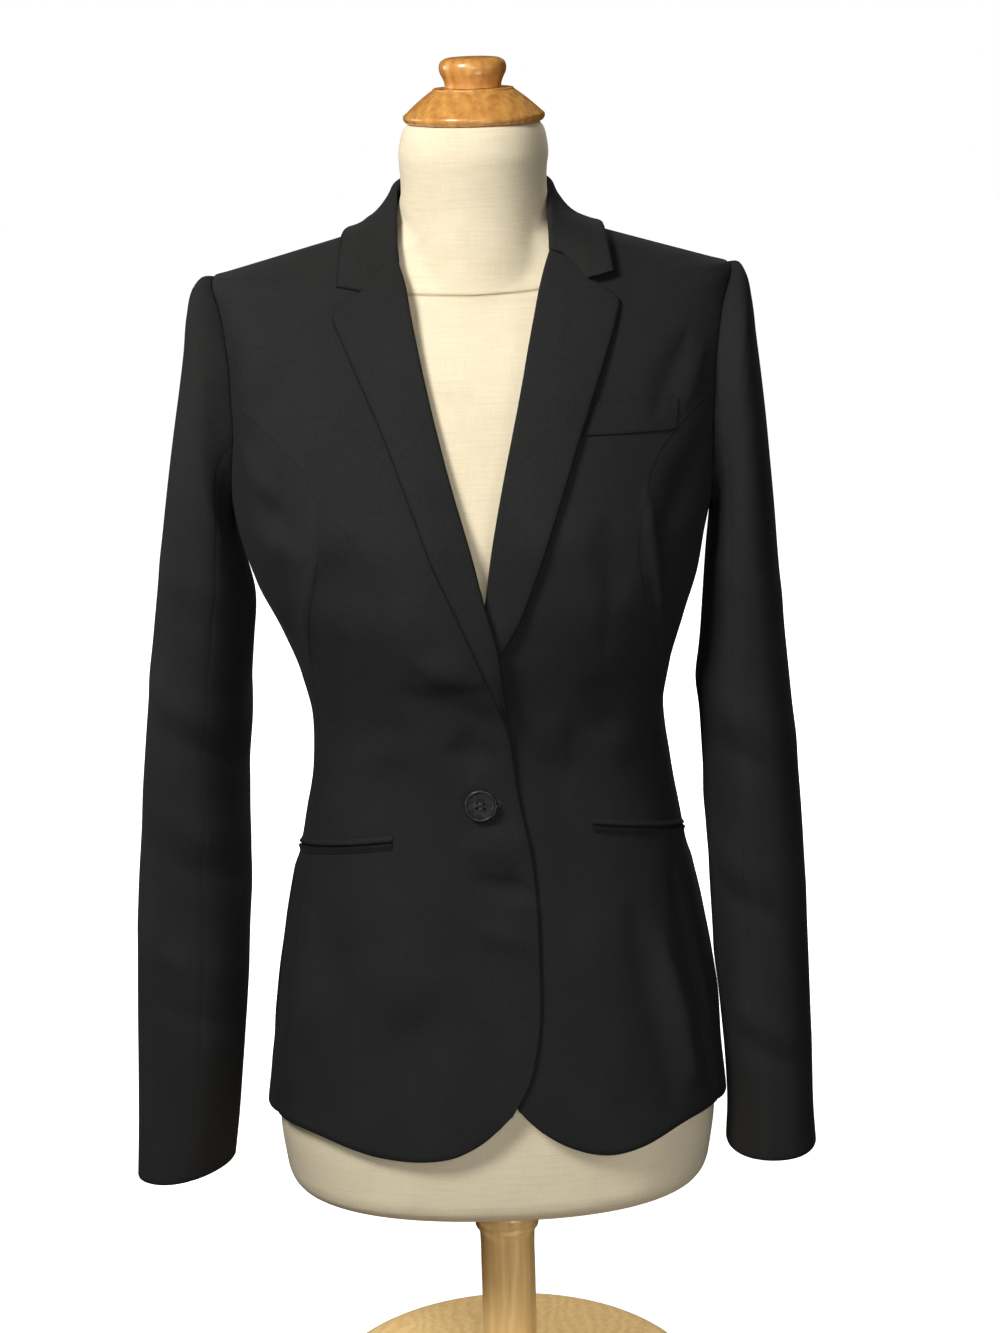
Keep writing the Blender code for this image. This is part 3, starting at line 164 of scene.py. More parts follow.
def rows_of(source: Table) -> Array:
    """A table's columns side by side."""
    return np.stack(list(source.values()), axis=1)


def ramp(value: Array, low: float, high: float) -> Array:
    """Smooth step from 0 at low to 1 at high."""
    t = np.clip((value - low) / (high - low), 0.0, 1.0)
    return t * t * (3.0 - 2.0 * t)


def unit(vectors: Array) -> Array:
    """Vectors scaled to length one."""
    return vectors / np.maximum(np.linalg.norm(vectors, axis=-1, keepdims=True), 1e-12)


def dot(a: Array, b: Array) -> Array:
    """Dot product along the last axis, which is kept."""
    return np.sum(a * b, axis=-1, keepdims=True)


def run_through(points: Array, samples: Array, scale: tuple[float, ...] | float = 1.0) -> Array:
    """Smooth curve through points, read at fractions of its length.

    Each span is a Hermite cubic; a slope between spans is the mean of both chords'
    slopes, each weighted by the other chord's length.

    Args:
        points: Rows of coordinates.
        samples: Fractions of the length, from 0 to 1.
        scale: Metres per unit of each coordinate.

    Returns:
        One row of coordinates for each sample.
    """
    points, weight = np.asarray(points, dtype=float), np.asarray(scale, dtype=float)
    chord = np.maximum(np.linalg.norm(np.diff(points * weight, axis=0), axis=1, keepdims=True), 1e-9)
    slope = np.diff(points, axis=0) / chord
    between = (slope[:-1] * chord[1:] + slope[1:] * chord[:-1]) / (chord[:-1] + chord[1:])
    tangent = np.vstack([slope[:1], between, slope[-1:]])
    t = shares(SPAN_STEPS + 1)[:-1, None, None]
    spans = hermite(t, points[:-1], points[1:], chord * tangent[:-1], chord * tangent[1:])
    dense = np.vstack([spans.transpose(1, 0, 2).reshape(-1, points.shape[1]), points[-1:]])
    length = lengths(dense * weight, 0)
    wanted = samples * length[-1]
    return np.stack([np.interp(wanted, length, column) for column in dense.T], axis=1)


def coons(left: Array, right: Array, bottom: Array, top: Array) -> Array:
    """Coons patch between four curves that meet at their ends.

    The ruled patch between the sides plus the one between the ends, less the
    bilinear patch of the corners.  Rows climb, columns run from left to right.
    """
    v, u = shares(len(left))[:, None, None], shares(len(bottom))[None, :, None]
    corners = ((1 - u) * (1 - v) * left[0] + u * (1 - v) * right[0]
               + (1 - u) * v * left[-1] + u * v * right[-1])
    return (1 - u) * left[:, None] + u * right[:, None] + (1 - v) * bottom + v * top - corners


def grid_direction(grid: Array) -> Array:
    """Direction square to a grid's own surface: column step crossed with row step."""
    return unit(np.cross(np.gradient(grid, axis=1), np.gradient(grid, axis=0)))


# ---------------------------------------------------------------- grids into meshes
def soften_corner(outer: Array, inner: Array, row: int, column: int, radius: float = 0.003) -> None:
    """Round one corner of two grids, in place.

    Points nearer than the radius move along the corner's own diagonal by 0.42 * radius
    * (1 - distance / radius)^2.
    """
    corner = outer[row, column].copy()
    away = 3 if row == 0 else -4, 3 if column == 0 else -4
    diagonal = unit(outer[away[0], away[1]] - corner)
    distance = np.linalg.norm(outer - corner, axis=-1)
    move = 0.42 * radius * np.clip(1.0 - distance / radius, 0.0, 1.0) ** 2
    for grid in (outer, inner):
        grid += diagonal * move[..., None]


@dataclass
class Patch:
    """A layer of cloth between two grids of the same size."""

    outer: Array           # rows x columns x 3
    inner: Array
    grain: Array           # rows x columns x 2, metres across and along the grain
    # edge is the mask of the painted shade beside the piece's edges and seams.
    edge: Array            # rows x columns, 1 on the piece's own edges, 0 inside
    rounded: tuple[bool, bool, bool, bool] = (True, True, True, True)   # left, right, bottom, top

    def cut_size(self) -> tuple[float, float, float]:
        """Greatest width and length of the flat piece, and its area."""
        outer = self.outer
        across = np.linalg.norm(np.diff(outer, axis=1), axis=-1).sum(axis=1)
        along = np.linalg.norm(np.diff(outer, axis=0), axis=-1).sum(axis=0)
        one = np.cross(outer[1:, 1:] - outer[:-1, :-1], outer[1:, :-1] - outer[:-1, 1:])
        area = 0.5 * np.linalg.norm(one, axis=-1).sum()
        width, length = float(across.max()), float(along.max())
        return width, length, min(float(area), width * length)

    def part(self, columns: Array) -> "Patch":
        """Patch of some columns of this one."""
        return Patch(self.outer[:, columns], self.inner[:, columns], self.grain[:, columns],
                     self.edge[:, columns], self.rounded)


def edge_distances(points: Array) -> tuple[Array, Array, Array, Array]:
    """Distance of each grid point from the left, right, bottom and top edge."""
    across, along = lengths(points, 1), lengths(points, 0)
    return across, across[:, -1:] - across, along, along[-1:] - along


def edge_closeness(points: Array, weights: tuple[float, ...]) -> Array:
    """Mask of the painted shade beside edges: the edges' weights, each falling as exp(-distance / fade); the
    largest counts.
    """
    return np.maximum.reduce([weight * np.exp(-distance / EDGE_SHADE_FADE)
                              for weight, distance in zip(weights, edge_distances(points))])


def square_off(edge: Array, inside: Array) -> Array:
    """Directions from an edge towards the inside, square to the edge itself."""
    run = unit(np.gradient(edge, axis=0))
    toward = inside - edge
    return unit(toward - run * dot(toward, run))


def draw_in(outer: Array, inner: Array, amounts: tuple, spread: int = 5) -> None:
    """Move the edges of two grids inwards, in place.

    The movement fades over the first columns or rows.

    Args:
        outer: Grid that gives the directions.
        inner: Grid that moves with it.
        amounts: Metres for left, right, bottom and top; numbers or one per point.
        spread: Number of columns or rows that move.
    """
    ends = ((outer[:, 0], outer[:, spread]), (outer[:, -1], outer[:, -1 - spread]),
            (outer[0], outer[spread]), (outer[-1], outer[-1 - spread]))
    left, right, bottom, top = (np.asarray(amount, dtype=float)[..., None] * square_off(*pair)
                                for amount, pair in zip(amounts, ends))
    for k in range(spread):
        share = 1.0 - k / spread
        for grid in (outer, inner):
            grid[:, k] += share * left
            grid[:, -1 - k] += share * right
            grid[k] += share * bottom
            grid[-1 - k] += share * top


def rolled_edge(outer: Array, inner: Array, radius: Array, mitre: Array, steps: int,
                spread: int = 20) -> tuple[Array, Array, Array]:
    """Half-round fold along the first column of two grids.

    The first columns move in by the radius.  The fold is centre + radius * (normal *
    cos t - along * sin t), t from pi on the hidden side to 0 on the shown one, about
    an axis one radius under the outer face.

    Args:
        outer: Shown face, changed in place.
        inner: Hidden face, changed in place.
        radius: Outer radius for each row.
        mitre: 1 where the fold's plane follows the row itself, 0 where it is square
            to the edge.
        steps: Points on the half circle.
        spread: Columns that move in.

    Returns:
        Outer and inner faces of the fold, and the direction from the edge inwards.
    """
    along_row = unit(outer[:, 5] - outer[:, 0])
    square = square_off(outer[:, 0], outer[:, 5])
    toward = unit(square * (1.0 - mitre[:, None]) + along_row * mitre[:, None])
    for k in range(spread):
        share = 1.0 - ramp(k / spread, 0.0, 1.0)
        for grid in (outer, inner):
            grid[:, k] += share * radius[:, None] * toward
    thick = np.linalg.norm(outer[:, 0] - inner[:, 0], axis=1)
    normal = unit(outer[:, 0] - inner[:, 0])
    along = unit(toward - normal * dot(toward, normal))
    turn = np.linspace(np.pi, 0.0, steps + 1)[:-1]
    fan = (normal[:, None] * np.cos(turn)[None, :, None]
           - along[:, None] * np.sin(turn)[None, :, None])
    centre = (outer[:, 0] - normal * radius[:, None])[:, None]
    return (centre + fan * radius[:, None, None],
            centre + fan * (radius - thick)[:, None, None], along)


def mesh_object(name: str, vertices: Array, faces: list[Array], grain: list[Array] | None = None,
                edge: Array | None = None) -> bpy.types.Object:
    """Smooth shaded mesh object at the origin, with its faces turned outwards.

    The sign of the volume, a sum of first * (second x third) over the corners of a
    triangle, tells which way the faces look.

    Args:
        name: Name of the object.
        vertices: Rows of coordinates.
        faces: Arrays of faces, all with the same number of corners in one array.
        grain: Grain coordinates of each face's corners, in arrays like the faces.
        edge: Closeness to an edge, one for each vertex, which darkens the colour as painted shade.

    Returns:
        The new object, linked to the scene.
    """
    volume = sum(np.sum(vertices[group[:, 0]] * np.cross(vertices[group[:, k]], vertices[group[:, k + 1]]))
                 for group in faces for k in range(1, group.shape[1] - 1))
    way = -1 if volume < 0.0 else 1
    mesh = bpy.data.meshes.new(name)
    mesh.from_pydata(vertices.tolist(), [], [row for group in faces for row in group[:, ::way].tolist()])
    mesh.shade_smooth()
    mesh.set_sharp_from_angle(angle=SHARP_ANGLE)
    if grain is not None:
        flat = np.concatenate([group[:, ::way].ravel() for group in grain])
        mesh.uv_layers.new(name="grain").data.foreach_set("uv", flat.astype(np.float32))
    if edge is not None:
        mesh.attributes.new("edge", "FLOAT", "POINT").data.foreach_set("value", edge.astype(np.float32))
    mesh.update()
    made = bpy.data.objects.new(name, mesh)
    bpy.context.scene.collection.objects.link(made)
    return made


def grid_quads(index: Array) -> Array:
    """Quads between the neighbouring entries of an index grid."""
    return np.stack([index[:-1, :-1], index[:-1, 1:], index[1:, 1:], index[1:, :-1]],
                    axis=-1).reshape(-1, 4)


def cloth_shell(name: str, patch: Patch, steps: int = 3) -> bpy.types.Object:
    """Closed layer of cloth with half-round edges.

    Round the rim each section is a half circle: middle of the wall plus the half
    wall turned by an angle from 0 to pi, away from the piece at a quarter turn.  A
    sewn edge stays square, so that two pieces meet flush.

    Args:
        name: Name of the object.
        patch: Outer and inner grids.
        steps: Points on each half circle.

    Returns:
        The mesh object.
    """
    rows, columns = patch.outer.shape[:2]
    count = rows * columns
    index = np.arange(count).reshape(rows, columns)
    row, column = np.divmod(index, columns)
    left, right, bottom, top = patch.rounded
    within = index[np.clip(row, int(bottom), rows - 1 - int(top)),
                   np.clip(column, int(left), columns - 1 - int(right))].ravel()
    rim = np.concatenate([index[0, :-1], index[:-1, -1], index[-1, :0:-1], index[:0:-1, 0]])
    outer, inner = patch.outer.reshape(-1, 3), patch.inner.reshape(-1, 3)
    half = 0.5 * (outer[rim] - inner[rim])
    across = unit(half)
    away = outer[rim] - outer[within[rim]]
    away = unit(away - across * dot(away, across)) * np.linalg.norm(half, axis=1, keepdims=True)
    angles = np.pi * np.arange(1, steps + 1) / (steps + 1)
    rings = [0.5 * (outer[rim] + inner[rim]) + half * math.cos(a) + away * math.sin(a) for a in angles]
    loops = [rim] + [2 * count + len(rim) * k + np.arange(len(rim)) for k in range(steps)] + [rim + count]
    quads = [grid_quads(index), grid_quads(index)[:, ::-1] + count]
    quads += [np.stack([np.roll(a, -1), a, b, np.roll(b, -1)], axis=1) for a, b in zip(loops[:-1], loops[1:])]
    faces = np.vstack(quads)
    grain, edge = patch.grain.reshape(-1, 2), patch.edge.ravel()
    grain = np.vstack([grain, grain] + [grain[rim]] * steps)
    edge = np.concatenate([edge, edge] + [edge[rim]] * steps)
    return mesh_object(name, np.vstack([outer, inner, *rings]), [faces], [grain[faces]], edge)


def closed_tube(name: str, rings: Array, grain: Array | None = None,
                edge: Array | None = None) -> bpy.types.Object:
    """Closed solid through rings of points, with a fan over each end.

    Args:
        name: Name of the object.
        rings: Rings x points x 3, without a repeated first point.
        grain: Rings x (points + 1) x 2 coordinates, or none.
        edge: Rings x points, closeness to a seam, or none.

    Returns:
        The mesh object.
    """
    count, around = rings.shape[:2]
    index = np.arange(count * (around + 1)).reshape(count, around + 1)
    low, high = index[0], index[-1]
    fans = np.vstack([np.stack([low[1:], low[:-1], low[:-1]], axis=1),
                      np.stack([high[:-1], high[1:], high[1:]], axis=1)])
    corners = [grid_quads(index), fans]
    faces = [group // (around + 1) * around + group % (around + 1) % around for group in corners]
    faces[1][:, 2] = count * around + np.repeat([0, 1], around)
    vertices = np.vstack([rings.reshape(-1, 3), rings[0].mean(axis=0), rings[-1].mean(axis=0)])
    woven = None if grain is None else [grain.reshape(-1, 2)[group] for group in corners]
    return mesh_object(name, vertices, faces, woven, None if edge is None else np.append(edge, [0.0, 0.0]))


def circle(count: int, first: Array, second: Array) -> Array:
    """Unit circle of points in the plane of two directions."""
    angle = np.linspace(0.0, 2.0 * np.pi, count, endpoint=False)[:, None]
    return np.cos(angle) * first + np.sin(angle) * second


def lathe(name: str, profile: Array, sides: int = 128, middle: Array | float = 0.0,
          axes: Array = np.eye(3)) -> bpy.types.Object:
    """Closed solid: a profile carried round an axis.

    Args:
        name: Name of the object.
        profile: Rows of (radius, level).
        sides: Points round the axis.
        middle: Point of the axis at level 0.
        axes: Two directions across the axis, then the axis itself.

    Returns:
        The mesh object.
    """
    radius, level = np.asarray(profile).T[..., None, None]
    return closed_tube(name, middle + radius * circle(sides, axes[0], axes[1]) + level * axes[2])


def rods(name: str, starts: Array, ends: Array, bow: Array, radius: float,
         sides: int = 6, steps: int = 6) -> bpy.types.Object:
    """Many short bowed threads in one mesh.

    Each thread's axis is the straight line from start to end plus bow * sin(pi t),
    and its section is a circle that closes at both ends.

    Args:
        name: Name of the object.
        starts: First points, n x 3.
        ends: Last points, n x 3.
        bow: Middle's offset from the straight line, n x 3.
        radius: Radius of the thread.
        sides: Points round a thread.
        steps: Spans along a thread.

    Returns:
        The mesh object.
    """
    t = shares(steps + 1)[:, None]
    axis = starts[:, None] * (1 - t) + ends[:, None] * t + bow[:, None] * np.sin(np.pi * t)
    run = unit(ends - starts)
    first = unit(bow - run * dot(bow, run))
    ring = circle(sides, first[:, None], np.cross(run, first)[:, None])
    width = radius * np.sqrt(np.clip(1.0 - (2 * t - 1) ** 6, 0.02, 1.0))
    points = axis[:, :, None] + ring[:, None] * width[..., None]
    index = np.arange((steps + 1) * sides).reshape(steps + 1, sides)
    quads = grid_quads(np.concatenate([index, index[:, :1]], axis=1))
    caps = np.vstack([np.stack([np.full(sides - 2, index[0, 0]), index[0, 2:], index[0, 1:-1]], axis=1),
                      np.stack([np.full(sides - 2, index[-1, 0]), index[-1, 1:-1], index[-1, 2:]], axis=1)])
    shift = (np.arange(len(starts)) * index.size)[:, None, None]
    faces = [(quads + shift).reshape(-1, 4), (caps + shift).reshape(-1, 3)]
    return mesh_object(name, points.reshape(-1, 3), faces)


# ---------------------------------------------------------------- girth surface
@dataclass(frozen=True)
class GirthSurface:
    """Outer face of the buttoned jacket as one smooth surface with soft folds."""

    ripple: float = 0.00028
    relief: float = 2.0
    body: Table = table_field(
        "height half_width mid_x mid_y front back square",
        (0.205, 0.168, -0.0052, 0, 0.108, 0.11, 2.3), (0.23, 0.1735, -0.005, 0, 0.111, 0.114, 2.3),
        (0.27, 0.1778, -0.0045, 0, 0.112, 0.118, 2.3), (0.31, 0.1738, -0.0036, 0, 0.111, 0.121, 2.3),
        (0.36, 0.167, -0.0022, 0, 0.108, 0.12, 2.3), (0.41, 0.1584, -0.002, 0, 0.105, 0.115, 2.3),
        (0.46, 0.1501, -0.0023, 0, 0.103, 0.107, 2.3), (0.51, 0.1402, -0.0016, 0, 0.102, 0.099, 2.3),
        (0.55, 0.1333, -0.001, 0, 0.102, 0.094, 2.28), (0.59, 0.1302, -0.0025, 0, 0.105, 0.092, 2.26),
        (0.625, 0.1362, -0.0037, 0, 0.113, 0.095, 2.26), (0.66, 0.1472, -0.0047, 0, 0.122, 0.101, 2.28),
        (0.695, 0.1605, -0.0075, 0, 0.127, 0.107, 2.3), (0.73, 0.1693, -0.0097, 0, 0.127, 0.112, 2.3),
        (0.77, 0.177, -0.0088, 0.001, 0.12, 0.116, 2.3), (0.81, 0.1802, -0.007, 0.002, 0.109, 0.117, 2.3),
        (0.85, 0.1838, -0.006, 0.003, 0.095, 0.11, 2.3), (0.88, 0.186, -0.0057, 0.004, 0.081, 0.098, 2.28),
        (0.9, 0.1855, -0.0057, 0.005, 0.067, 0.085, 2.25),
        (0.9135, 0.1825, -0.0055, 0.005, 0.056, 0.074, 2.2),
        (0.9148, 0.178, -0.0054, 0.005, 0.055, 0.073, 2.19),
        (0.921, 0.157, -0.0048, 0.005, 0.051, 0.067, 2.15),
        (0.929, 0.1285, -0.004, 0.005, 0.048, 0.061, 2.1), (0.937, 0.1, -0.003, 0.004, 0.047, 0.056, 2.05),
        (0.9425, 0.0815, -0.0025, 0.003, 0.047, 0.054, 2.02),
        (0.948, 0.069, -0.002, 0.002, 0.048, 0.053, 2), (0.955, 0.06, -0.0018, 0, 0.05, 0.053, 2),
        (0.97, 0.0546, -0.0016, -0.001, 0.0515, 0.0525, 2),
        (0.985, 0.054, -0.0016, -0.001, 0.053, 0.053, 2),
    )
    # Folds: both ends, half width across the line, rise, and how much wider the
    # fold is on its lower side than on its upper one.
    folds: Table = table_field(
        "girth_a height_a girth_b height_b spread rise lean",
        (-14, 0.658, -3, 0.646, 0.016, 0.002, -0.35), (-20, 0.634, -2, 0.618, 0.013, -0.0016, 0.8),
        (-4.5, 0.6, -5, 0.574, 0.013, -0.0022, 0), (-1, 0.532, 2.5, 0.5, 0.014, 0.0022, 0),
        (-2, 0.49, 9, 0.479, 0.007, -0.0016, 0.6), (-3, 0.455, 5, 0.44, 0.009, 0.0012, 0),
        (-27, 0.738, -32, 0.69, 0.017, -0.0022, 0), (-33, 0.775, -38, 0.722, 0.006, 0.0012, 0),
        (-38, 0.722, -56, 0.655, 0.0065, 0.0013, 0), (-46, 0.735, -62, 0.67, 0.013, -0.0019, 0),
        (-54, 0.762, -45, 0.752, 0.012, -0.0019, 0.9), (-56, 0.742, -43, 0.73, 0.01, 0.0018, 0.4),
        (-62, 0.8, -50, 0.772, 0.012, 0.0018, 0), (-40, 0.858, -54, 0.82, 0.01, -0.0012, 0.3),
        (-49, 0.868, -60, 0.838, 0.011, 0.0008, 0), (-24, 0.59, -42, 0.578, 0.015, 0.0011, 0),
        (-22, 0.43, -28, 0.38, 0.025, 0.0014, 0), (-14, 0.4, -18, 0.35, 0.018, -0.0012, 0),
        (-60, 0.44, -66, 0.32, 0.018, 0.0018, 0), (-46, 0.42, -52, 0.3, 0.02, -0.0014, 0),
        (40, 0.768, 51, 0.69, 0.006, 0.0016, 0), (51, 0.69, 63, 0.64, 0.006, 0.0012, 0),
        (60, 0.79, 50, 0.748, 0.015, -0.0026, 0.5), (30, 0.748, 34, 0.7, 0.015, -0.0014, 0),
        (31, 0.715, 33, 0.655, 0.006, -0.0003, 0), (12, 0.61, 20, 0.585, 0.016, 0.0018, 0),
        (30, 0.628, 46, 0.6, 0.013, -0.0014, 0), (34, 0.59, 52, 0.575, 0.013, 0.0014, 0),
        (24, 0.44, 29, 0.33, 0.024, 0.0014, 0), (40, 0.45, 46, 0.31, 0.02, -0.002, 0),
        (50, 0.42, 56, 0.32, 0.015, 0.0026, 0), (62, 0.47, 66, 0.31, 0.016, -0.0022, 0),
        (51, 0.868, 42, 0.826, 0.012, -0.0013, 0), (58, 0.858, 52, 0.825, 0.011, 0.0008, 0),
        (-96, 0.46, -102, 0.31, 0.022, 0.0026, 0), (-118, 0.47, -124, 0.3, 0.024, -0.0022, 0),
        (-134, 0.45, -142, 0.3, 0.026, 0.0026, 0), (96, 0.46, 101, 0.31, 0.022, 0.0024, 0),
        (119, 0.47, 126, 0.3, 0.024, -0.0022, 0), (136, 0.45, 144, 0.3, 0.026, 0.0026, 0),
        (166, 0.47, 170, 0.3, 0.024, -0.0012, 0), (-165, 0.47, -169, 0.31, 0.024, -0.001, 0),
        (-164, 0.588, -118, 0.604, 0.011, 0.0026, 0.6), (-158, 0.562, -122, 0.574, 0.01, -0.0018, 0.6),
        (-150, 0.634, -112, 0.65, 0.012, 0.0018, 0.4), (162, 0.596, 120, 0.616, 0.011, 0.0024, 0.6),
        (156, 0.566, 118, 0.58, 0.011, -0.0018, 0.6), (148, 0.642, 114, 0.662, 0.012, 0.0016, 0.4),
        (-112, 0.745, -132, 0.655, 0.014, 0.0024, 0), (-104, 0.72, -118, 0.655, 0.01, -0.0018, 0),
        (112, 0.745, 134, 0.66, 0.014, 0.0022, 0), (104, 0.722, 120, 0.66, 0.01, -0.0018, 0),
        (-150, 0.86, -138, 0.79, 0.02, -0.0014, 0), (150, 0.862, 139, 0.795, 0.02, -0.0014, 0),
        (-170, 0.905, 178, 0.905, 0.01, 0.0008, 0),
    )

    def section(self, height: Array) -> list[Array]:
        """Half width, middle, depths and exponent of the section at a height."""
        return [read(self.body, name, height) for name in self.body if name != "height"]

    def bare_point(self, girth: Array, height: Array) -> Array:
        """Superellipse of each height: |x/a|^n + |y/b|^n = 1, without folds."""
        half_width, mid_x, mid_y, front, back, square = self.section(height)
        across, along = np.sin(np.radians(girth)), np.cos(np.radians(girth))
        depth = np.where(along > 0.0, front, back)
        x = mid_x + half_width * np.sign(across) * np.abs(across) ** (2.0 / square)
        y = mid_y - depth * np.sign(along) * np.abs(along) ** (2.0 / square)
        return np.stack([x, y, height + 0.0 * x], axis=-1)

    def direction(self, girth: Array, height: Array) -> Array:
        """Outward direction: step round the girth crossed with the step upwards."""
        turn = math.degrees(NORMAL_STEP / MEAN_RADIUS)
        round_it = self.bare_point(girth + turn, height) - self.bare_point(girth - turn, height)
        up = self.bare_point(girth, height + NORMAL_STEP) - self.bare_point(girth, height - NORMAL_STEP)
        return unit(np.cross(round_it, up))

    def fold_rise(self, girth: Array, height: Array) -> Array:
        """Sum of the folds and a faint ripple.

        Each fold is rise * taper * exp(-(distance from its line / spread)^2), and the
        taper runs from 0.55 at its ends to 1 in its middle.  The ripple is a sum of
        products of sines.
        """
        place = np.stack([girth * GIRTH_PER_DEGREE, height + 0.0 * girth], axis=-1)
        total = np.zeros(np.shape(girth))
        for girth_a, height_a, girth_b, height_b, wide, rise, lean in rows_of(self.folds):
            a = np.array([girth_a * GIRTH_PER_DEGREE, height_a])
            b = np.array([girth_b * GIRTH_PER_DEGREE, height_b])
            along = np.clip(((place - a) @ (b - a)) / np.dot(b - a, b - a), 0.0, 1.0)
            offset = place - a - along[..., None] * (b - a)
            taper = 0.55 + 0.45 * np.sin(np.pi * along)
            spread = wide * taper * (1.0 + lean * ramp(-offset[..., 1], -0.004, 0.004))
            total += rise * taper * np.exp(-(np.linalg.norm(offset, axis=-1) / spread) ** 2)
        x, z = place[..., 0], place[..., 1]
        ripple = (np.sin(x * 61.0 + z * 23.0 + 1.0) * np.sin(z * 47.0 - x * 19.0 + 0.5)
                  + 0.6 * np.sin(x * 113.0 - z * 67.0) * np.sin(z * 89.0 + 2.0))
        return self.relief * total + self.ripple * ripple

    def point(self, girth: Array, height: Array, lift: Array | float = 0.0) -> Array:
        """Point of the cloth's outer face, moved out by lift."""
        rise = self.fold_rise(girth, height) + lift
        return self.bare_point(girth, height) + self.direction(girth, height) * rise[..., None]

    def girth_at(self, x: Array, height: Array) -> Array:
        """Girth angle of the front point that has this x."""
        half_width, mid_x, _, _, _, square = self.section(height)
        share = np.clip(np.abs(x - mid_x) / half_width, 0.0, 1.0)
        return np.sign(x - mid_x) * np.degrees(np.arcsin(share ** (square / 2.0)))

    def places(self, source: Table) -> Array:
        """Table as (girth, height); one that gives x is drawn out smoothly in x first."""
        if "girth" in source:
            return rows_of(source)
        x, height = run_through(rows_of(source), shares(30 * len(source["x"]))).T
        return np.stack([self.girth_at(x, height), height], axis=1)

    def grain(self, girth: Array, height: Array, origin: float = 0.0) -> Array:
        """Metres round from a girth and metres up the surface, for the weave.

        Both are lengths summed along a fine lattice of the surface, read between
        its points.

        Args:
            girth: Girth angles.
            height: Heights.
            origin: Girth that the first coordinate starts from.

        Returns:
            Grid of (across, along) lengths.
        """
        turns, levels = np.linspace(-180.0, 180.0, 241), np.linspace(0.25, 0.96, 143)
        lattice = self.bare_point(*np.meshgrid(turns, levels))
        across = lengths(lattice, 1)
        zero = int(round((origin + 180.0) / 360.0 * (len(turns) - 1)))
        across = across - across[:, zero:zero + 1]
        column = np.clip((girth + 180.0) / 360.0 * (len(turns) - 1), 0, len(turns) - 1.001)
        row = np.clip((height - levels[0]) / (levels[-1] - levels[0]) * (len(levels) - 1),
                      0, len(levels) - 1.001)
        c, r = column.astype(int), row.astype(int)
        fc, fr = column - c, row - r
        return np.stack([(values[r, c] * (1 - fc) + values[r, c + 1] * fc) * (1 - fr)
                         + (values[r + 1, c] * (1 - fc) + values[r + 1, c + 1] * fc) * fr
                         for values in (across, lengths(lattice, 0))], axis=-1)


def mirrored(rows: Array, side: Side) -> Array:
    """Places of the same curve on the given side."""
    return rows * np.array([side.value, 1.0])


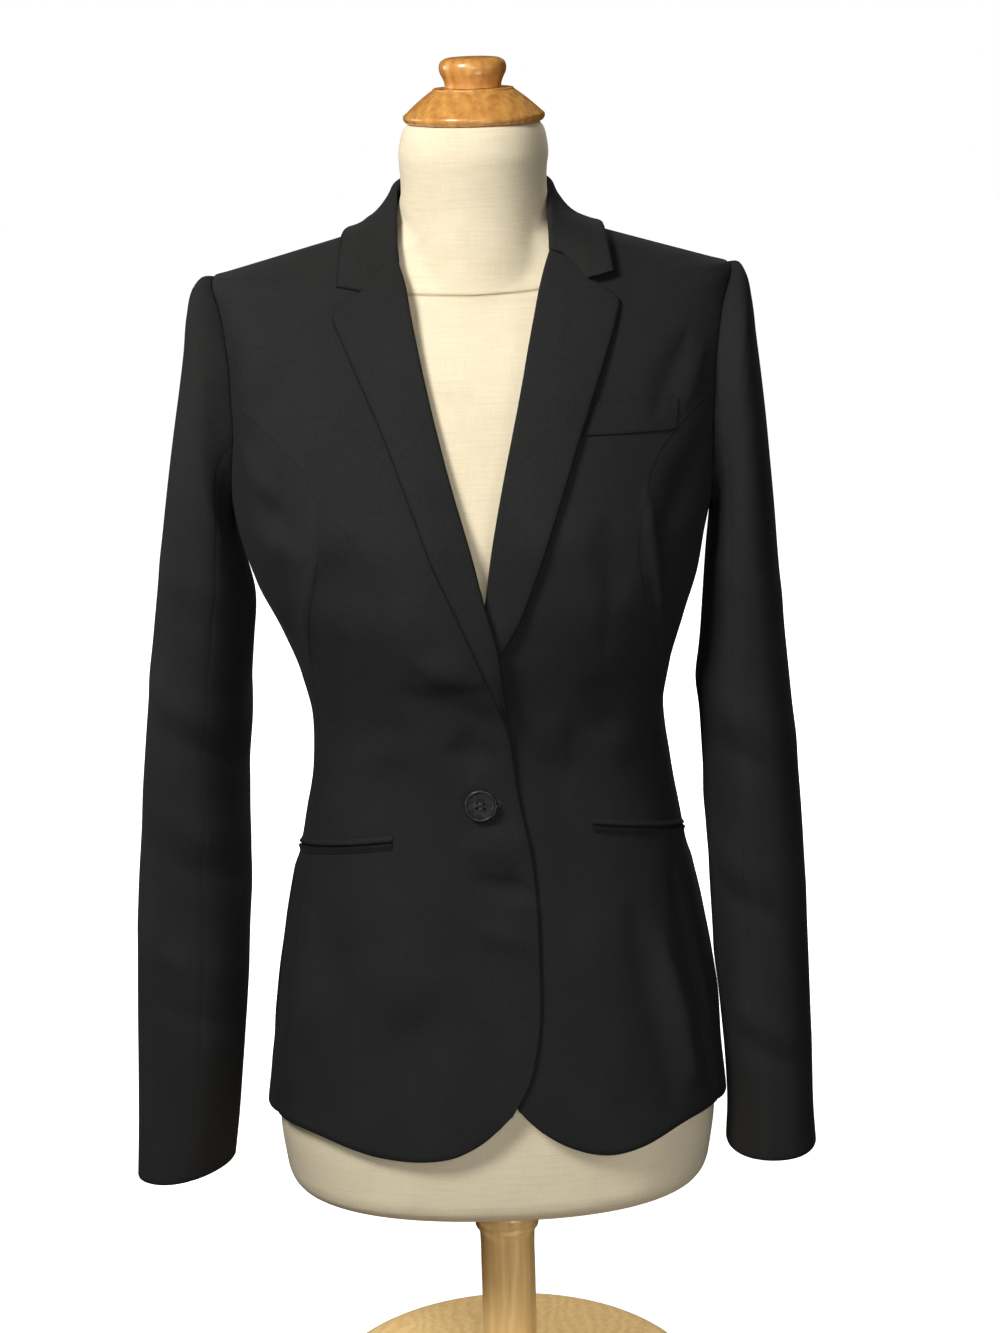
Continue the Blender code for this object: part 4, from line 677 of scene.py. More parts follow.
# ---------------------------------------------------------------- node sheets
class NodeSheet:
    """A new node material with short calls for its nodes."""

    def __init__(self, name: str) -> None:
        """Start a material with a Principled shader."""
        self.material = bpy.data.materials.new(name)
        self.material.use_nodes = True
        self.tree = self.material.node_tree
        self.shader = self.tree.nodes["Principled BSDF"]

    def put(self, socket: Socket, value: object) -> None:
        """Link a source to a socket or set its value; a colour gets its alpha."""
        if isinstance(value, Socket):
            self.tree.links.new(value, socket)
        else:
            socket.default_value = (*value, 1.0) if socket.type == "RGBA" else value

    def node(self, kind: str, inputs: dict | None = None, **settings: object) -> bpy.types.Node:
        """Add a node; inputs maps a socket's name or number to a value or a socket."""
        made = self.tree.nodes.new("ShaderNode" + kind)
        for name, value in settings.items():
            setattr(made, name, value)
        for key, value in (inputs or {}).items():
            self.put(made.inputs[key], value)
        return made

    def math(self, operation: str, a: object, b: object = 0.0) -> Socket:
        """Result of one arithmetic step."""
        return self.node("Math", {0: a, 1: b}, operation=operation).outputs[0]

    def times(self, value: object, factor: object) -> Socket:
        """Value times a factor."""
        return self.math("MULTIPLY", value, factor)

    def total(self, *terms: tuple[object, float]) -> Socket:
        """Sum of values, each times its weight."""
        parts = [self.times(value, weight) for value, weight in terms]
        whole = parts[0]
        for part in parts[1:]:
            whole = self.math("ADD", whole, part)
        return whole

    def wave(self, phase: Socket) -> Socket:
        """Sine of a phase, from 0 to 1."""
        return self.span(self.math("SINE", phase), -1.0, 1.0)

    def edge(self) -> Socket:
        """The piece's own closeness to an edge or seam."""
        return self.node("Attribute", attribute_name="edge").outputs["Fac"]

    def scaled(self, vector: Socket, factors: tuple) -> Socket:
        """Coordinates times three factors."""
        return self.node("VectorMath", {0: vector, 1: factors}, operation="MULTIPLY").outputs[0]

    def grain(self, across: float, along: float) -> Socket:
        """The piece's own grain coordinates, scaled."""
        return self.scaled(self.node("UVMap", uv_map="grain").outputs["UV"], (across, along, 1.0))

    def place(self, x: float, y: float, z: float) -> Socket:
        """Object coordinates, scaled."""
        return self.scaled(self.node("TexCoord").outputs["Object"], (x, y, z))

    def noise(self, vector: Socket, detail: float = 2.0,
              roughness: float = 0.5) -> Socket:
        """Noise of unit scale on scaled coordinates."""
        made = self.node("TexNoise", {"Vector": vector, "Scale": 1.0, "Detail": detail,
                                      "Roughness": roughness})
        return made.outputs["Fac"]

    def span(self, value: Socket, low: float = 0.3, high: float = 0.7,
             to_low: float = 0.0, to_high: float = 1.0) -> Socket:
        """Carry low..high to to_low..to_high, clamped."""
        made = self.node("MapRange", {"Value": value, "From Min": low, "From Max": high,
                                      "To Min": to_low, "To Max": to_high})
        return made.outputs["Result"]

    def blend(self, factor: object, a: object, b: object) -> Socket:
        """Mix of two colours."""
        return self.node("Mix", {0: factor, 6: a, 7: b}, data_type="RGBA").outputs[2]

    def bump(self, height: Socket, distance: float, strength: float,
             normal: Socket | None = None) -> Socket:
        """Bump of a height, on top of another one if given."""
        made = self.node("Bump", {"Height": height, "Distance": distance, "Strength": strength})
        if normal is not None:
            self.tree.links.new(normal, made.inputs["Normal"])
        return made.outputs["Normal"]

    def finish(self, **values: object) -> bpy.types.Material:
        """Feed the shader's sockets, underscores for spaces, and give the material."""
        for name, value in values.items():
            self.put(self.shader.inputs[name.replace("_", " ")], value)
        return self.material


@dataclass(frozen=True)
class Suiting:
    """Fine charcoal wool: close twill with a few thicker yarns and a soft bloom."""

    name: str = "charcoal_suiting"
    deep: Colour = (0.0086, 0.0085, 0.0084)
    pale: Colour = (0.0285, 0.0280, 0.0270)
    # Painted shade: the colour that the cloth darkens to beside its edges and seams.
    sunk: Colour = (0.0040, 0.0040, 0.0040)
    rib: float = 0.0011        # metres between twill ribs along the weft
    sheen: float = 0.03

    def material(self) -> bpy.types.Material:
        """Twill ribs, mixed yarns, mottling, and painted shade that darkens the colour beside seams and
        edges.
        """
        sheet = NodeSheet(self.name)
        turns = 2.0 * np.pi / self.rib
        across, along, _ = sheet.node("SeparateXYZ", {0: sheet.grain(1.0, 1.0)}).outputs
        twill = sheet.wave(sheet.total((across, turns), (along, 0.9 * turns),
                                       (sheet.noise(sheet.grain(260.0, 180.0)), 5.0)))
        warp = sheet.noise(sheet.grain(2600.0, 190.0), 2.0, 0.6)
        weft = sheet.noise(sheet.grain(170.0, 2300.0), 2.0, 0.6)
        fibre = sheet.noise(sheet.grain(3300.0, 3300.0), 1.0)
        mottle = sheet.noise(sheet.grain(16.0, 11.0), 3.0, 0.55)
        heather = sheet.noise(sheet.grain(560.0, 330.0), 4.0, 0.75)
        yarn = sheet.total((warp, 0.5), (weft, 0.5))
        tone = sheet.total((sheet.span(yarn), 0.26), (sheet.span(fibre, 0.25, 0.75), 0.10), (twill, 0.12),
                           (sheet.span(heather, 0.32, 0.68), 0.28), (sheet.span(mottle), 0.24))
        edge = sheet.edge()
        # Painted shade: darker towards edges and seams, standing in for the shade that falls there.
        line = sheet.times(sheet.math("POWER", edge, 4.0), 0.75)
        colour = sheet.blend(line, sheet.blend(tone, self.deep, self.pale), self.sunk)
        rough = sheet.span(mottle, to_low=0.80, to_high=0.90)
        rough = sheet.math("SUBTRACT", rough, sheet.times(edge, 0.08))
        weave = sheet.bump(sheet.total((twill, 0.5), (yarn, 0.9)), 0.00010, 0.45)
        normal = sheet.bump(sheet.noise(sheet.grain(55.0, 38.0), 3.0), 0.0007, 0.18, weave)
        return sheet.finish(Base_Color=colour, Roughness=rough, Normal=normal, Specular_IOR_Level=0.10,
                            Sheen_Weight=self.sheen, Sheen_Roughness=0.45, Sheen_Tint=(0.55, 0.55, 0.57))


@dataclass(frozen=True)
class Linen:
    """Unbleached linen stretched over the form, with slubs round the body."""

    name: str = "cream_linen"
    deep: Colour = (0.72, 0.605, 0.405)
    pale: Colour = (0.88, 0.775, 0.565)
    # Painted shade: the colour that the linen darkens to in the neck seam's groove.
    seam: Colour = (0.42, 0.34, 0.20)

    def material(self) -> bpy.types.Material:
        """Plain weave of uneven yarns; the long slubs run round the body."""
        sheet = NodeSheet(self.name)
        weft = sheet.noise(sheet.grain(38.0, 950.0), 3.0, 0.6)
        warp = sheet.noise(sheet.grain(1100.0, 60.0))
        slub = sheet.span(sheet.noise(sheet.grain(14.0, 480.0)), 0.56, 0.74)
        mottle = sheet.noise(sheet.grain(18.0, 18.0), 3.0)
        tone = sheet.total((sheet.span(weft), 0.45), (sheet.span(warp), 0.22), (sheet.span(mottle), 0.33))
        colour = sheet.blend(tone, self.deep, self.pale)
        colour = sheet.blend(sheet.times(slub, 0.35), colour, self.deep)
        return sheet.finish(
            # Painted shade in the neck seam's groove.
            Base_Color=sheet.blend(sheet.times(sheet.edge(), 0.75), colour, self.seam),
            Roughness=sheet.span(weft, to_low=0.80, to_high=0.92),
            Normal=sheet.bump(sheet.total((weft, 0.6), (warp, 0.4), (slub, 0.5)), 0.00025, 0.55),
            Specular_IOR_Level=0.25, Sheen_Weight=0.08)


@dataclass(frozen=True)
class TurnedWood:
    """Varnished wood turned on a lathe; the grain runs up the piece."""

    name: str
    deep: Colour
    pale: Colour
    roughness: float = 0.28
    coat: float = 0.5

    def material(self) -> bpy.types.Material:
        """Growth rings, streaks and pores, with fine tool lines round the axis."""
        sheet = NodeSheet(self.name)
        bend = sheet.noise(sheet.place(22.0, 22.0, 5.0), 3.0)
        x, _, z = sheet.node("SeparateXYZ", {0: sheet.place(1.0, 1.0, 1.0)}).outputs
        rings = sheet.wave(sheet.total((x, 620.0), (bend, 24.0)))
        streak = sheet.noise(sheet.place(240.0, 240.0, 9.0), 3.0, 0.6)
        pores = sheet.span(sheet.noise(sheet.place(1500.0, 1500.0, 60.0), 1.0), 0.60, 0.78)
        tone = sheet.total((rings, 0.35), (sheet.span(streak), 0.65))
        colour = sheet.blend(tone, self.deep, self.pale)
        colour = sheet.blend(sheet.times(pores, 0.4), colour, self.deep)
        rough = sheet.span(streak, to_low=self.roughness - 0.05, to_high=self.roughness + 0.10)
        tool = sheet.math("SINE", sheet.times(z, 5200.0))
        normal = sheet.bump(sheet.total((tool, 0.15), (pores, -0.8)), 0.00008, 0.5)
        return sheet.finish(Base_Color=colour, Roughness=rough, Normal=normal, Coat_Weight=self.coat,
                            Coat_Roughness=0.12)


@dataclass(frozen=True)
class DarkHorn:
    """Dark satin button, faintly clouded."""

    name: str = "dark_horn"
    deep: Colour = (0.010, 0.010, 0.011)
    pale: Colour = (0.045, 0.043, 0.041)

    def material(self) -> bpy.types.Material:
        """Clouds and streaks under a satin polish with fine scratches."""
        sheet = NodeSheet(self.name)
        cloud = sheet.noise(sheet.place(260.0, 260.0, 420.0), 3.0, 0.6)
        fine = sheet.noise(sheet.place(2500.0, 2500.0, 500.0))
        return sheet.finish(
            Base_Color=sheet.blend(sheet.span(cloud, 0.45, 0.75), self.deep, self.pale),
            Roughness=sheet.span(fine, to_low=0.34, to_high=0.48), Normal=sheet.bump(fine, 0.00003, 0.4),
            Specular_IOR_Level=0.35, Coat_Weight=0.12, Coat_Roughness=0.25)


@dataclass(frozen=True)
class Twist:
    """Buttonhole twist and sewing thread."""

    name: str = "dark_twist"
    colour: Colour = (0.016, 0.016, 0.017)

    def material(self) -> bpy.types.Material:
        """Fine plies with a silky sheen."""
        sheet = NodeSheet(self.name)
        plies = sheet.noise(sheet.place(5200.0, 5200.0, 5200.0))
        paler = tuple(2.2 * value for value in self.colour)
        return sheet.finish(Base_Color=sheet.blend(sheet.span(plies, 0.35), self.colour, paler),
                            Roughness=sheet.span(plies, to_low=0.45, to_high=0.62),
                            Normal=sheet.bump(plies, 0.00004, 0.6), Sheen_Weight=0.25)


@dataclass(frozen=True)
class StudioPaper:
    """Pale seamless paper."""

    name: str = "studio_paper"

    def material(self) -> bpy.types.Material:
        """Near white with a faint tooth, brighter away from the stand."""
        sheet = NodeSheet(self.name)
        here = sheet.node("VectorMath", {0: sheet.place(1.0, 1.0, 1.0)}, operation="LENGTH").outputs["Value"]
        glow = sheet.span(here, 0.25, 1.6, 0.62, 1.02)
        tooth = sheet.noise(sheet.place(140.0, 140.0, 140.0))
        return sheet.finish(Emission_Strength=glow, Emission_Color=(1.0, 1.0, 1.0),
                            Base_Color=sheet.blend(tooth, (0.90, 0.90, 0.895), (0.93, 0.93, 0.925)),
                            Roughness=0.9, Specular_IOR_Level=0.2)


# ---------------------------------------------------------------- dressing
def dress(piece: bpy.types.Object, finish: bpy.types.Material, slot: Slot, *nodes: str) -> bpy.types.Object:
    """Give a piece its finish and body, and hide the solids that it stands for."""
    piece.data.materials.clear()
    piece.data.materials.append(finish)
    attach(piece, BODY_NAME)
    if nodes:
        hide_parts(*nodes)
    LOG.info("%s: %d faces", piece.name, len(piece.data.polygons))
    return piece


def declare(piece: bpy.types.Object, patch: Patch, held: str, *rests_on: str) -> None:
    """Log the size that a piece of cloth was cut to."""
    width, length, area = patch.cut_size()
    width, length = max(width, SEWABLE), max(length, SEWABLE)
    LOG.info("%s: cut %.3f x %.3f m, %.4f m2", piece.name, width, length, area)


# ---------------------------------------------------------------- jacket body
@dataclass(frozen=True)
class Pattern:
    """Seams and edges of the jacket as places on the girth surface."""

    surface: GirthSurface = field(default_factory=GirthSurface)
    shoulder_tip: float = 0.9135
    neck_point: float = 0.9515
    side_rows: int = 118       # rows between hem and armhole
    arm_rows: int = 46         # rows between armhole corner and shoulder
    under_columns: int = 46    # columns of the side panel
    collar_middle: float = -0.0025
    left_rise: float = 0.0055  # the wearer's left gorge sits this much higher
    gorge_steps: int = 16      # columns in each of the gorge's four parts
    lap_start: float = -0.090
    lap_full: float = -0.038

    side_front: Table = table_field(
        "height right_girth left_girth",
        (0.2865, 70, 70), (0.4, 69.5, 69.5), (0.5, 70.5, 70.5), (0.585, 70, 70), (0.616, 66, 66),
        (0.65, 56.5, 56.5), (0.683, 46.5, 47.5), (0.715, 38.5, 42), (0.743, 34.5, 40), (0.768, 34.2, 40.2),
        (0.79, 38.5, 43), (0.808, 47, 49.5), (0.822, 58, 59), (0.832, 67.7, 67.7),
    )
    side_back: Table = table_field(
        "girth height",
        (127, 0.279), (123, 0.4), (120, 0.5), (118, 0.585), (121, 0.655), (125, 0.715), (122, 0.755),
        (108.5, 0.79),
    )
    centre_back: Table = table_field("girth height", (180, 0.272), (180, 0.6), (180, 0.946))
    side_hem: Table = table_field("girth height", (70, 0.2865), (90, 0.28), (108, 0.278), (127, 0.279))
    back_hem: Table = table_field("girth height", (127, 0.279), (150, 0.275), (180, 0.272))
    armhole_front: Table = table_field(
        "girth height",
        (67.7, 0.832), (67.2, 0.856), (69.6, 0.882), (77, 0.903), (90, 0.9135),
    )
    armhole_under: Table = table_field(
        "girth height",
        (67.7, 0.832), (69, 0.808), (72, 0.785), (76.5, 0.763), (84, 0.747), (91, 0.742), (98, 0.747),
        (105, 0.765), (108.5, 0.79),
    )
    armhole_back: Table = table_field(
        "girth height",
        (108.5, 0.79), (111.5, 0.815), (112.5, 0.85), (109, 0.885), (102, 0.904), (90, 0.9135),
    )
    over_edge: Table = table_field(
        "x height",
        (0.0086, 0.3094), (0.0202, 0.3323), (0.0267, 0.3589), (0.0301, 0.435), (0.0267, 0.5035),
        (0.0186, 0.5493), (0.0116, 0.6113), (0.0088, 0.6352), (0.0055, 0.67), (-0.002, 0.6997),
        (-0.0092, 0.7317), (-0.0203, 0.7721), (-0.0361, 0.8376), (-0.0465, 0.8888), (-0.0509, 0.912),
        (-0.055, 0.9251), (-0.0588, 0.94),
    )
    over_hem: Table = table_field(
        "x height",
        (0.0086, 0.3094), (-0.0178, 0.2866), (-0.0364, 0.2772), (-0.0535, 0.2737), (-0.0921, 0.2736),
        (-0.1296, 0.2818),
    )
    under_edge: Table = table_field(
        "x height",
        (0.0101, 0.3117), (0.0022, 0.329), (-0.0015, 0.3589), (-0.01, 0.44), (-0.0225, 0.5035),
        (-0.0345, 0.5493), (-0.032, 0.578), (-0.022, 0.6113), (-0.011, 0.65), (-0.002, 0.6997),
        (0.0026, 0.7317), (0.0104, 0.7712), (0.0253, 0.8359), (0.0367, 0.8866), (0.0432, 0.9113),
        (0.0495, 0.93), (0.0548, 0.942),
    )
    under_hem: Table = table_field(
        "x height",
        (0.0101, 0.3117), (0.0302, 0.2925), (0.0483, 0.2807), (0.0794, 0.2711), (0.1005, 0.2727),
        (0.1315, 0.2826),
    )
    neckline: Table = table_field(
        "girth height",
        (20, 0.9251), (37.6, 0.9395), (60, 0.9468), (90, 0.9515), (130, 0.948), (180, 0.946),
    )
    gorge: Table = table_field(
        "out height",
        (0.0522, 0.9251), (0.0609, 0.922), (0.0692, 0.9153), (0.078, 0.9055),
    )
    collar_tip: tuple[float, float] = (0.0968, 0.9096)
    lapel_tip: tuple[float, float] = (0.1003, 0.8906)
    lap_clear: Table = table_field(
        "height lift",
        (0.26, 0.0028), (0.45, 0.003), (0.55, 0.0034), (0.6, 0.0056), (0.66, 0.007), (0.7, 0.0063),
        (0.74, 0.003), (0.79, 0.0008), (0.83, 0),
    )

    def lift(self, side: Side, girth: Array, height: Array) -> Array:
        """How far a front stands off: the right one laps over the left one."""
        if side is Side.LEFT:
            return np.zeros(np.shape(girth))
        x = self.surface.bare_point(girth, height)[..., 0]
        return read(self.lap_clear, "lift", height) * ramp(x, self.lap_start, self.lap_full)

    def on_front(self, side: Side, girth: Array, height: Array, more: Array | float) -> Array:
        """Point that stands off a front's outer face by more."""
        return self.surface.point(girth, height, self.lift(side, girth, height) + more)

    def drawn(self, source: Table | Array, samples: Array) -> Array:
        """Curve through places, read at fractions of its length."""
        rows = self.surface.places(source) if isinstance(source, dict) else source
        return run_through(rows, samples, PLACE_SCALE)

    def side_curve(self, seam: Table, armhole: Table) -> Array:
        """Seam rows, then armhole rows, which share the corner."""
        lower = self.drawn(seam, shares(self.side_rows + 1))
        upper = self.drawn(armhole, np.sin(0.5 * np.pi * shares(self.arm_rows + 1)))
        return np.vstack([lower, upper[1:]])

    def side_front_seam(self, side: Side) -> Table:
        """Front seam of one side panel."""
        return {"girth": self.side_front[f"{side.word}_girth"], "height": self.side_front["height"]}

    def at_heights(self, rows: Array, heights: Array) -> Array:
        """Curve that always climbs, read at given heights."""
        dense = self.drawn(rows, shares(1600))
        return np.stack([np.interp(heights, dense[:, 1], dense[:, 0]), heights], axis=1)

    def matched_heights(self, start: float, end: float, side_rows: Array) -> Array:
        """Heights for an inner edge that climb in step with the side's rows."""
        corner = side_rows[self.side_rows, 1]
        lower = np.linspace(start, corner, self.side_rows + 1)
        upper = np.interp(side_rows[self.side_rows + 1:, 1], [corner, side_rows[-1, 1]], [corner, end])
        return np.concatenate([lower, upper])

    def front_edge(self, side: Side) -> Array:
        """Front edge, roll line and neckline of one front."""
        rows = self.surface.places(side.pick(self.over_edge, self.under_edge))
        return np.vstack([rows, mirrored(rows_of(self.neckline)[2:4], side)])

    def shoulder(self, side: Side, columns: int) -> Array:
        """Shoulder seam from the neck point to the tip, at even widths."""
        fine = np.linspace(self.neck_point, self.shoulder_tip, 200)
        width = read(self.surface.body, "half_width", fine)
        height = np.interp(np.linspace(width[0], width[-1], columns), width, fine)
        return np.stack([np.full(columns, side.value * 90.0), height], axis=1)

    def front_grid(self, side: Side, columns: int) -> Array:
        """Places of a front: rows climb from the hem, columns run to the side."""
        right = mirrored(self.side_curve(self.side_front_seam(side), self.armhole_front), side)
        edge = self.front_edge(side)
        left = self.at_heights(edge, self.matched_heights(edge[0, 1], self.neck_point, right))
        hem = np.vstack([self.surface.places(side.pick(self.over_hem, self.under_hem)), right[:1]])
        return coons(left, right, self.drawn(hem, shares(columns + 1)), self.shoulder(side, columns + 1))

    def side_grid(self, side: Side) -> Array:
        """Places of a side panel, from its front seam to its back seam."""
        rows, columns = shares(self.side_rows + 1), shares(self.under_columns + 1)
        left, right = self.drawn(self.side_front_seam(side), rows), self.drawn(self.side_back, rows)
        bottom, top = self.drawn(self.side_hem, columns), self.drawn(self.armhole_under, columns)
        return mirrored(coons(left, right, bottom, top), side)

    def back_grid(self, side: Side, columns: int) -> Array:
        """Places of a back, from its side seam to the centre back."""
        left = self.side_curve(self.side_back, self.armhole_back)
        centre = rows_of(self.centre_back)
        right = self.at_heights(centre, self.matched_heights(centre[0, 1], centre[-1, 1], left))
        neck_columns = round(3 * columns / 8)
        shoulder = self.shoulder(Side.LEFT, columns - neck_columns + 1)[::-1]
        girth = np.linspace(90.0, 180.0, neck_columns + 1)
        neck = np.stack([girth, read(self.neckline, "height", girth, "girth")], axis=1)
        bottom = self.drawn(self.back_hem, shares(columns + 1))
        return mirrored(coons(left, right, bottom, np.vstack([shoulder, neck[1:]])), side)

    def gorge_places(self, side: Side, tip: tuple[float, float]) -> Array:
        """Gorge seam from the roll line to the notch, then straight to a free tip."""
        seam = run_through(rows_of(self.gorge), shares(3 * self.gorge_steps + 1))
        free = seam[-1] + (np.array(tip) - seam[-1]) * shares(self.gorge_steps + 1)[1:, None]
        out, height = np.vstack([seam, free]).T
        height = height + side.pick(0.0, self.left_rise)
        girth = self.surface.girth_at(self.collar_middle + side.value * out, height)
        return np.stack([girth, height], axis=1)


def turned_in(distance: Array, depth: float) -> Array:
    """1 where a turned hem doubles the cloth and 0 past its inner edge."""
    return 1.0 - ramp(distance, depth - 0.001, depth + 0.001)


@dataclass
class Tailor:
    """Cuts panels on the girth surface and sews them into shells."""

    pattern: Pattern
    cloth: bpy.types.Material
    seam_depth: float = 0.00022    # how far cloth sinks into a sewn seam
    seam_width: float = 0.0013
    # Painted shade: how dark the colour gets beside a sewn seam, less than beside a free edge.
    seam_shade: float = 0.46        # how much a sewn seam darkens beside a free edge
    seam_swell: float = 0.00006    # pressed turnings lift the cloth beside a seam
    pucker: float = 0.00012        # small waves along a seam
    pucker_length: float = 0.013
    hem_turning: float = 0.036     # depth of the turned-up hem inside
    hem_layer: float = 0.0010      # how much thicker the wall is there

    def panel(self, grid: Array, lift: Array | float, sewn: tuple[bool, bool, bool, bool],
              insets: tuple, origin: float = 0.0) -> Patch:
        """Patch over a grid of places, with a turned hem along its bottom edge.

        The wall sinks by depth * exp(-(distance / width)^2) at each sewn edge, with
        a sine wave of small puckers along it, and is thicker along the hem.

        Args:
            grid: Rows x columns of (girth, height).
            lift: Metres that the outer face stands off the girth surface.
            sewn: Whether the left, right, bottom and top edges are sewn.
            insets: How far each edge is drawn in.
            origin: Girth where the grain's first coordinate starts.

        Returns:
            The patch.
        """
        surface = self.pattern.surface
        girth, height = grid[..., 0], grid[..., 1]
        distances = edge_distances(surface.point(girth, height, lift))
        grain = surface.grain(girth, height, origin)
        sink = np.zeros(girth.shape)
        for distance, is_sewn, run in zip(distances, sewn, (1, 1, 0, 0)):
            if is_sewn:
                along = grain[..., run]
                wave = np.sin(2 * np.pi * (along / self.pucker_length + 0.35 * np.sin(along * 41.0)))
                sink += self.seam_depth * np.exp(-(distance / self.seam_width) ** 2)
                sink += self.pucker * wave * np.exp(-(distance / (5.0 * self.seam_width)) ** 2)
                sink -= self.seam_swell * np.exp(-((distance - 0.0035) / 0.0038) ** 2)
        thick = WALL + self.hem_layer * turned_in(distances[2], self.hem_turning)
        outer = surface.point(girth, height, lift - sink)
        inner = surface.point(girth, height, lift - sink - thick)
        draw_in(outer, inner, insets)
        # Painted shade: how dark the colour gets beside each edge, sewn or free.
        weights = tuple(self.seam_shade if is_sewn else FREE_EDGE_SHADE for is_sewn in sewn)
        return Patch(outer, inner, grain, edge_closeness(outer, weights),
                     tuple(not is_sewn for is_sewn in sewn))

    def sew(self, name: str, patch: Patch, held: str, *rests_on: str, nodes: tuple[str, ...] = ()) -> None:
        """Make and dress a piece of cloth, and log its cut size.

        Args:
            name: The piece's name without its ending, and its solid's name.
            patch: Outer and inner grids.
            held: How the cloth is held; not used.
            rests_on: What it rests on; not used.
            nodes: Its solids, where they aren't the one of its name.
        """
        piece = dress(cloth_shell(f"{name}_cloth", patch), self.cloth, Slot.SUITING, *(nodes or (name,)))
        declare(piece, patch, held, *rests_on)


@dataclass
class BodyPanels:
    """Fronts, side panels and backs."""

    tailor: Tailor
    front_columns: int = 100
    back_columns: int = 72
    break_height: float = 0.600
    crossing: float = 0.925
    roll_radius: float = 0.0026

    def front_inset(self, heights: Array) -> Array:
        """Edge inset: half a wall below the break, the lapel's roll above it."""
        opened = ramp(heights, self.break_height - 0.004, self.break_height + 0.030)
        closed = ramp(heights, self.crossing, self.crossing + 0.012)
        return RIM + opened * (1.0 - closed) * (self.roll_radius + RIM + SEAM_GAP)

    def build(self) -> None:
        """Make and dress the six panels."""
        pattern, panel = self.tailor.pattern, self.tailor.panel
        sewn = (True, True, False, True), (SEAM_GAP, SEAM_GAP, RIM, SEAM_GAP)
        for side in Side:
            grid = pattern.front_grid(side, self.front_columns)
            insets = (self.front_inset(grid[:, 0, 1]), SEAM_GAP, RIM, SEAM_GAP)
            patches = {
                "front": panel(grid, pattern.lift(side, grid[..., 0], grid[..., 1]),
                               (False, True, False, True), insets),
                "side": panel(pattern.side_grid(side), 0.0, *sewn, side.value * 90.0),
                "back": panel(pattern.back_grid(side, self.back_columns), 0.0, *sewn, side.value * 180.0),
            }
            for name, patch in patches.items():
                self.tailor.sew(f"{side.word}_{name}", patch, "draped", "form_torso")


def gorge_inset(columns: int) -> Array:
    """Inset along a gorge: almost none where it is sewn, half a wall past the notch."""
    return SEAM_GAP + (RIM - SEAM_GAP) * ramp(shares(columns), 0.70, 0.80)


@dataclass
class Lapels:
    """Lapels that roll over from the front edges."""

    tailor: Tailor
    rows: int = 150
    arc_steps: int = 12
    foot: float = 0.6035
    clear_roll: float = 0.0013
    over_clear: float = 0.0034     # under the over lapel's outer edge
    under_clear: float = 0.0032    # under the under lapel's outer edge
    swell: float = 0.0010
    collar_clear: float = 0.0034
    over_edge: Table = table_field(
        "x height",
        (0.0117, 0.6035), (0.008, 0.616), (0.0036, 0.629), (-0.0163, 0.6806), (-0.0386, 0.7324),
        (-0.0544, 0.7759), (-0.0703, 0.8184), (-0.0932, 0.8703),
    )
    under_edge: Table = table_field(
        "x height",
        (-0.0235, 0.6035), (-0.017, 0.616), (-0.008, 0.637), (0.0095, 0.6662), (0.0218, 0.688),
        (0.0328, 0.7158), (0.0476, 0.7561), (0.0664, 0.8098), (0.0908, 0.8747),
    )

    def grid(self, side: Side) -> Array:
        """Places of a lapel: rows climb from the break, columns run to its edge.

        Rows are straight from the roll line to the edge, and take up the gorge's
        curve by a smooth step over the upper part.
        """
        pattern = self.tailor.pattern
        gorge = pattern.gorge_places(side, pattern.lapel_tip)
        climb = shares(self.rows + 1)
        roll = pattern.at_heights(pattern.front_edge(side), self.foot + (gorge[0, 1] - self.foot) * climb)
        edge = pattern.surface.places(side.pick(self.over_edge, self.under_edge))
        outer = pattern.drawn(np.vstack([edge, gorge[-1:]]), climb)
        across = shares(len(gorge))[:, None]
        curve = gorge - gorge[0] - (gorge[-1] - gorge[0]) * across
        return (roll[:, None] + (outer - roll)[:, None] * across
                + curve * ramp(climb, 0.62, 1.0)[:, None, None])

    def patch(self, side: Side) -> Patch:
        """Lapel with its rolled fold.

        From the roll line inwards the wall follows a half circle about an axis one
        radius under the lapel's face: centre + radius * (normal * cos t - along *
        sin t), t from 0 on the lapel to pi on the front's inner side.
        """
        pattern = self.tailor.pattern
        grid = self.grid(side)
        girth, height = grid[..., 0], grid[..., 1]
        opened = ramp(height[:, :1], self.foot, self.foot + 0.030)
        wall = WALL * (0.30 + 0.70 * opened)
        u = shares(grid.shape[1])
        clear = (self.clear_roll * (1 - u) + side.pick(self.over_clear, self.under_clear) * u
                 + self.swell * 4 * u * (1 - u))
        near_gorge = ramp(shares(len(grid))[:, None], 0.80, 0.98)
        clear = (clear + (self.collar_clear - WALL - clear) * near_gorge) * opened
        outer = pattern.on_front(side, girth, height, wall + clear)
        inner = pattern.on_front(side, girth, height, clear)
        radius = 0.5 * (2 * wall[:, 0] + clear[:, 0])
        draw_in(outer, inner, (0.0, RIM * (0.3 + 0.7 * opened[:, 0]), 0.0, gorge_inset(grid.shape[1])))
        soften_corner(outer, inner, -1, -1)
        mitre = ramp(height[:, 0], height[-1, 0] - 0.016, height[-1, 0])
        outer_roll, inner_roll, _ = rolled_edge(outer, inner, radius, mitre, self.arc_steps)
        grain = pattern.surface.grain(girth, height)
        rolled = np.repeat(grain[:, :1], self.arc_steps, axis=1)
        rolled[..., 0] -= side.value * radius[:, None] * np.linspace(np.pi, 0.0, self.arc_steps + 1)[:-1]
        outer, inner, grain = (np.concatenate(pair, axis=1) for pair in
                               ((outer_roll, outer), (inner_roll, inner), (rolled, grain)))
        # Painted shade: darkest beside the outer edge, where the lapel stands off the front, lighter beside
        # the foot and the gorge, none at the roll.
        return Patch(outer, inner, grain, edge_closeness(outer, (0.0, 1.0, 0.5, 0.6)),
                     (False, True, True, True))

    def build(self) -> None:
        """Make and dress both lapels."""
        for side in Side:
            self.tailor.sew(f"{side.word}_lapel", self.patch(side), "folded", f"{side.word}_front_cloth")


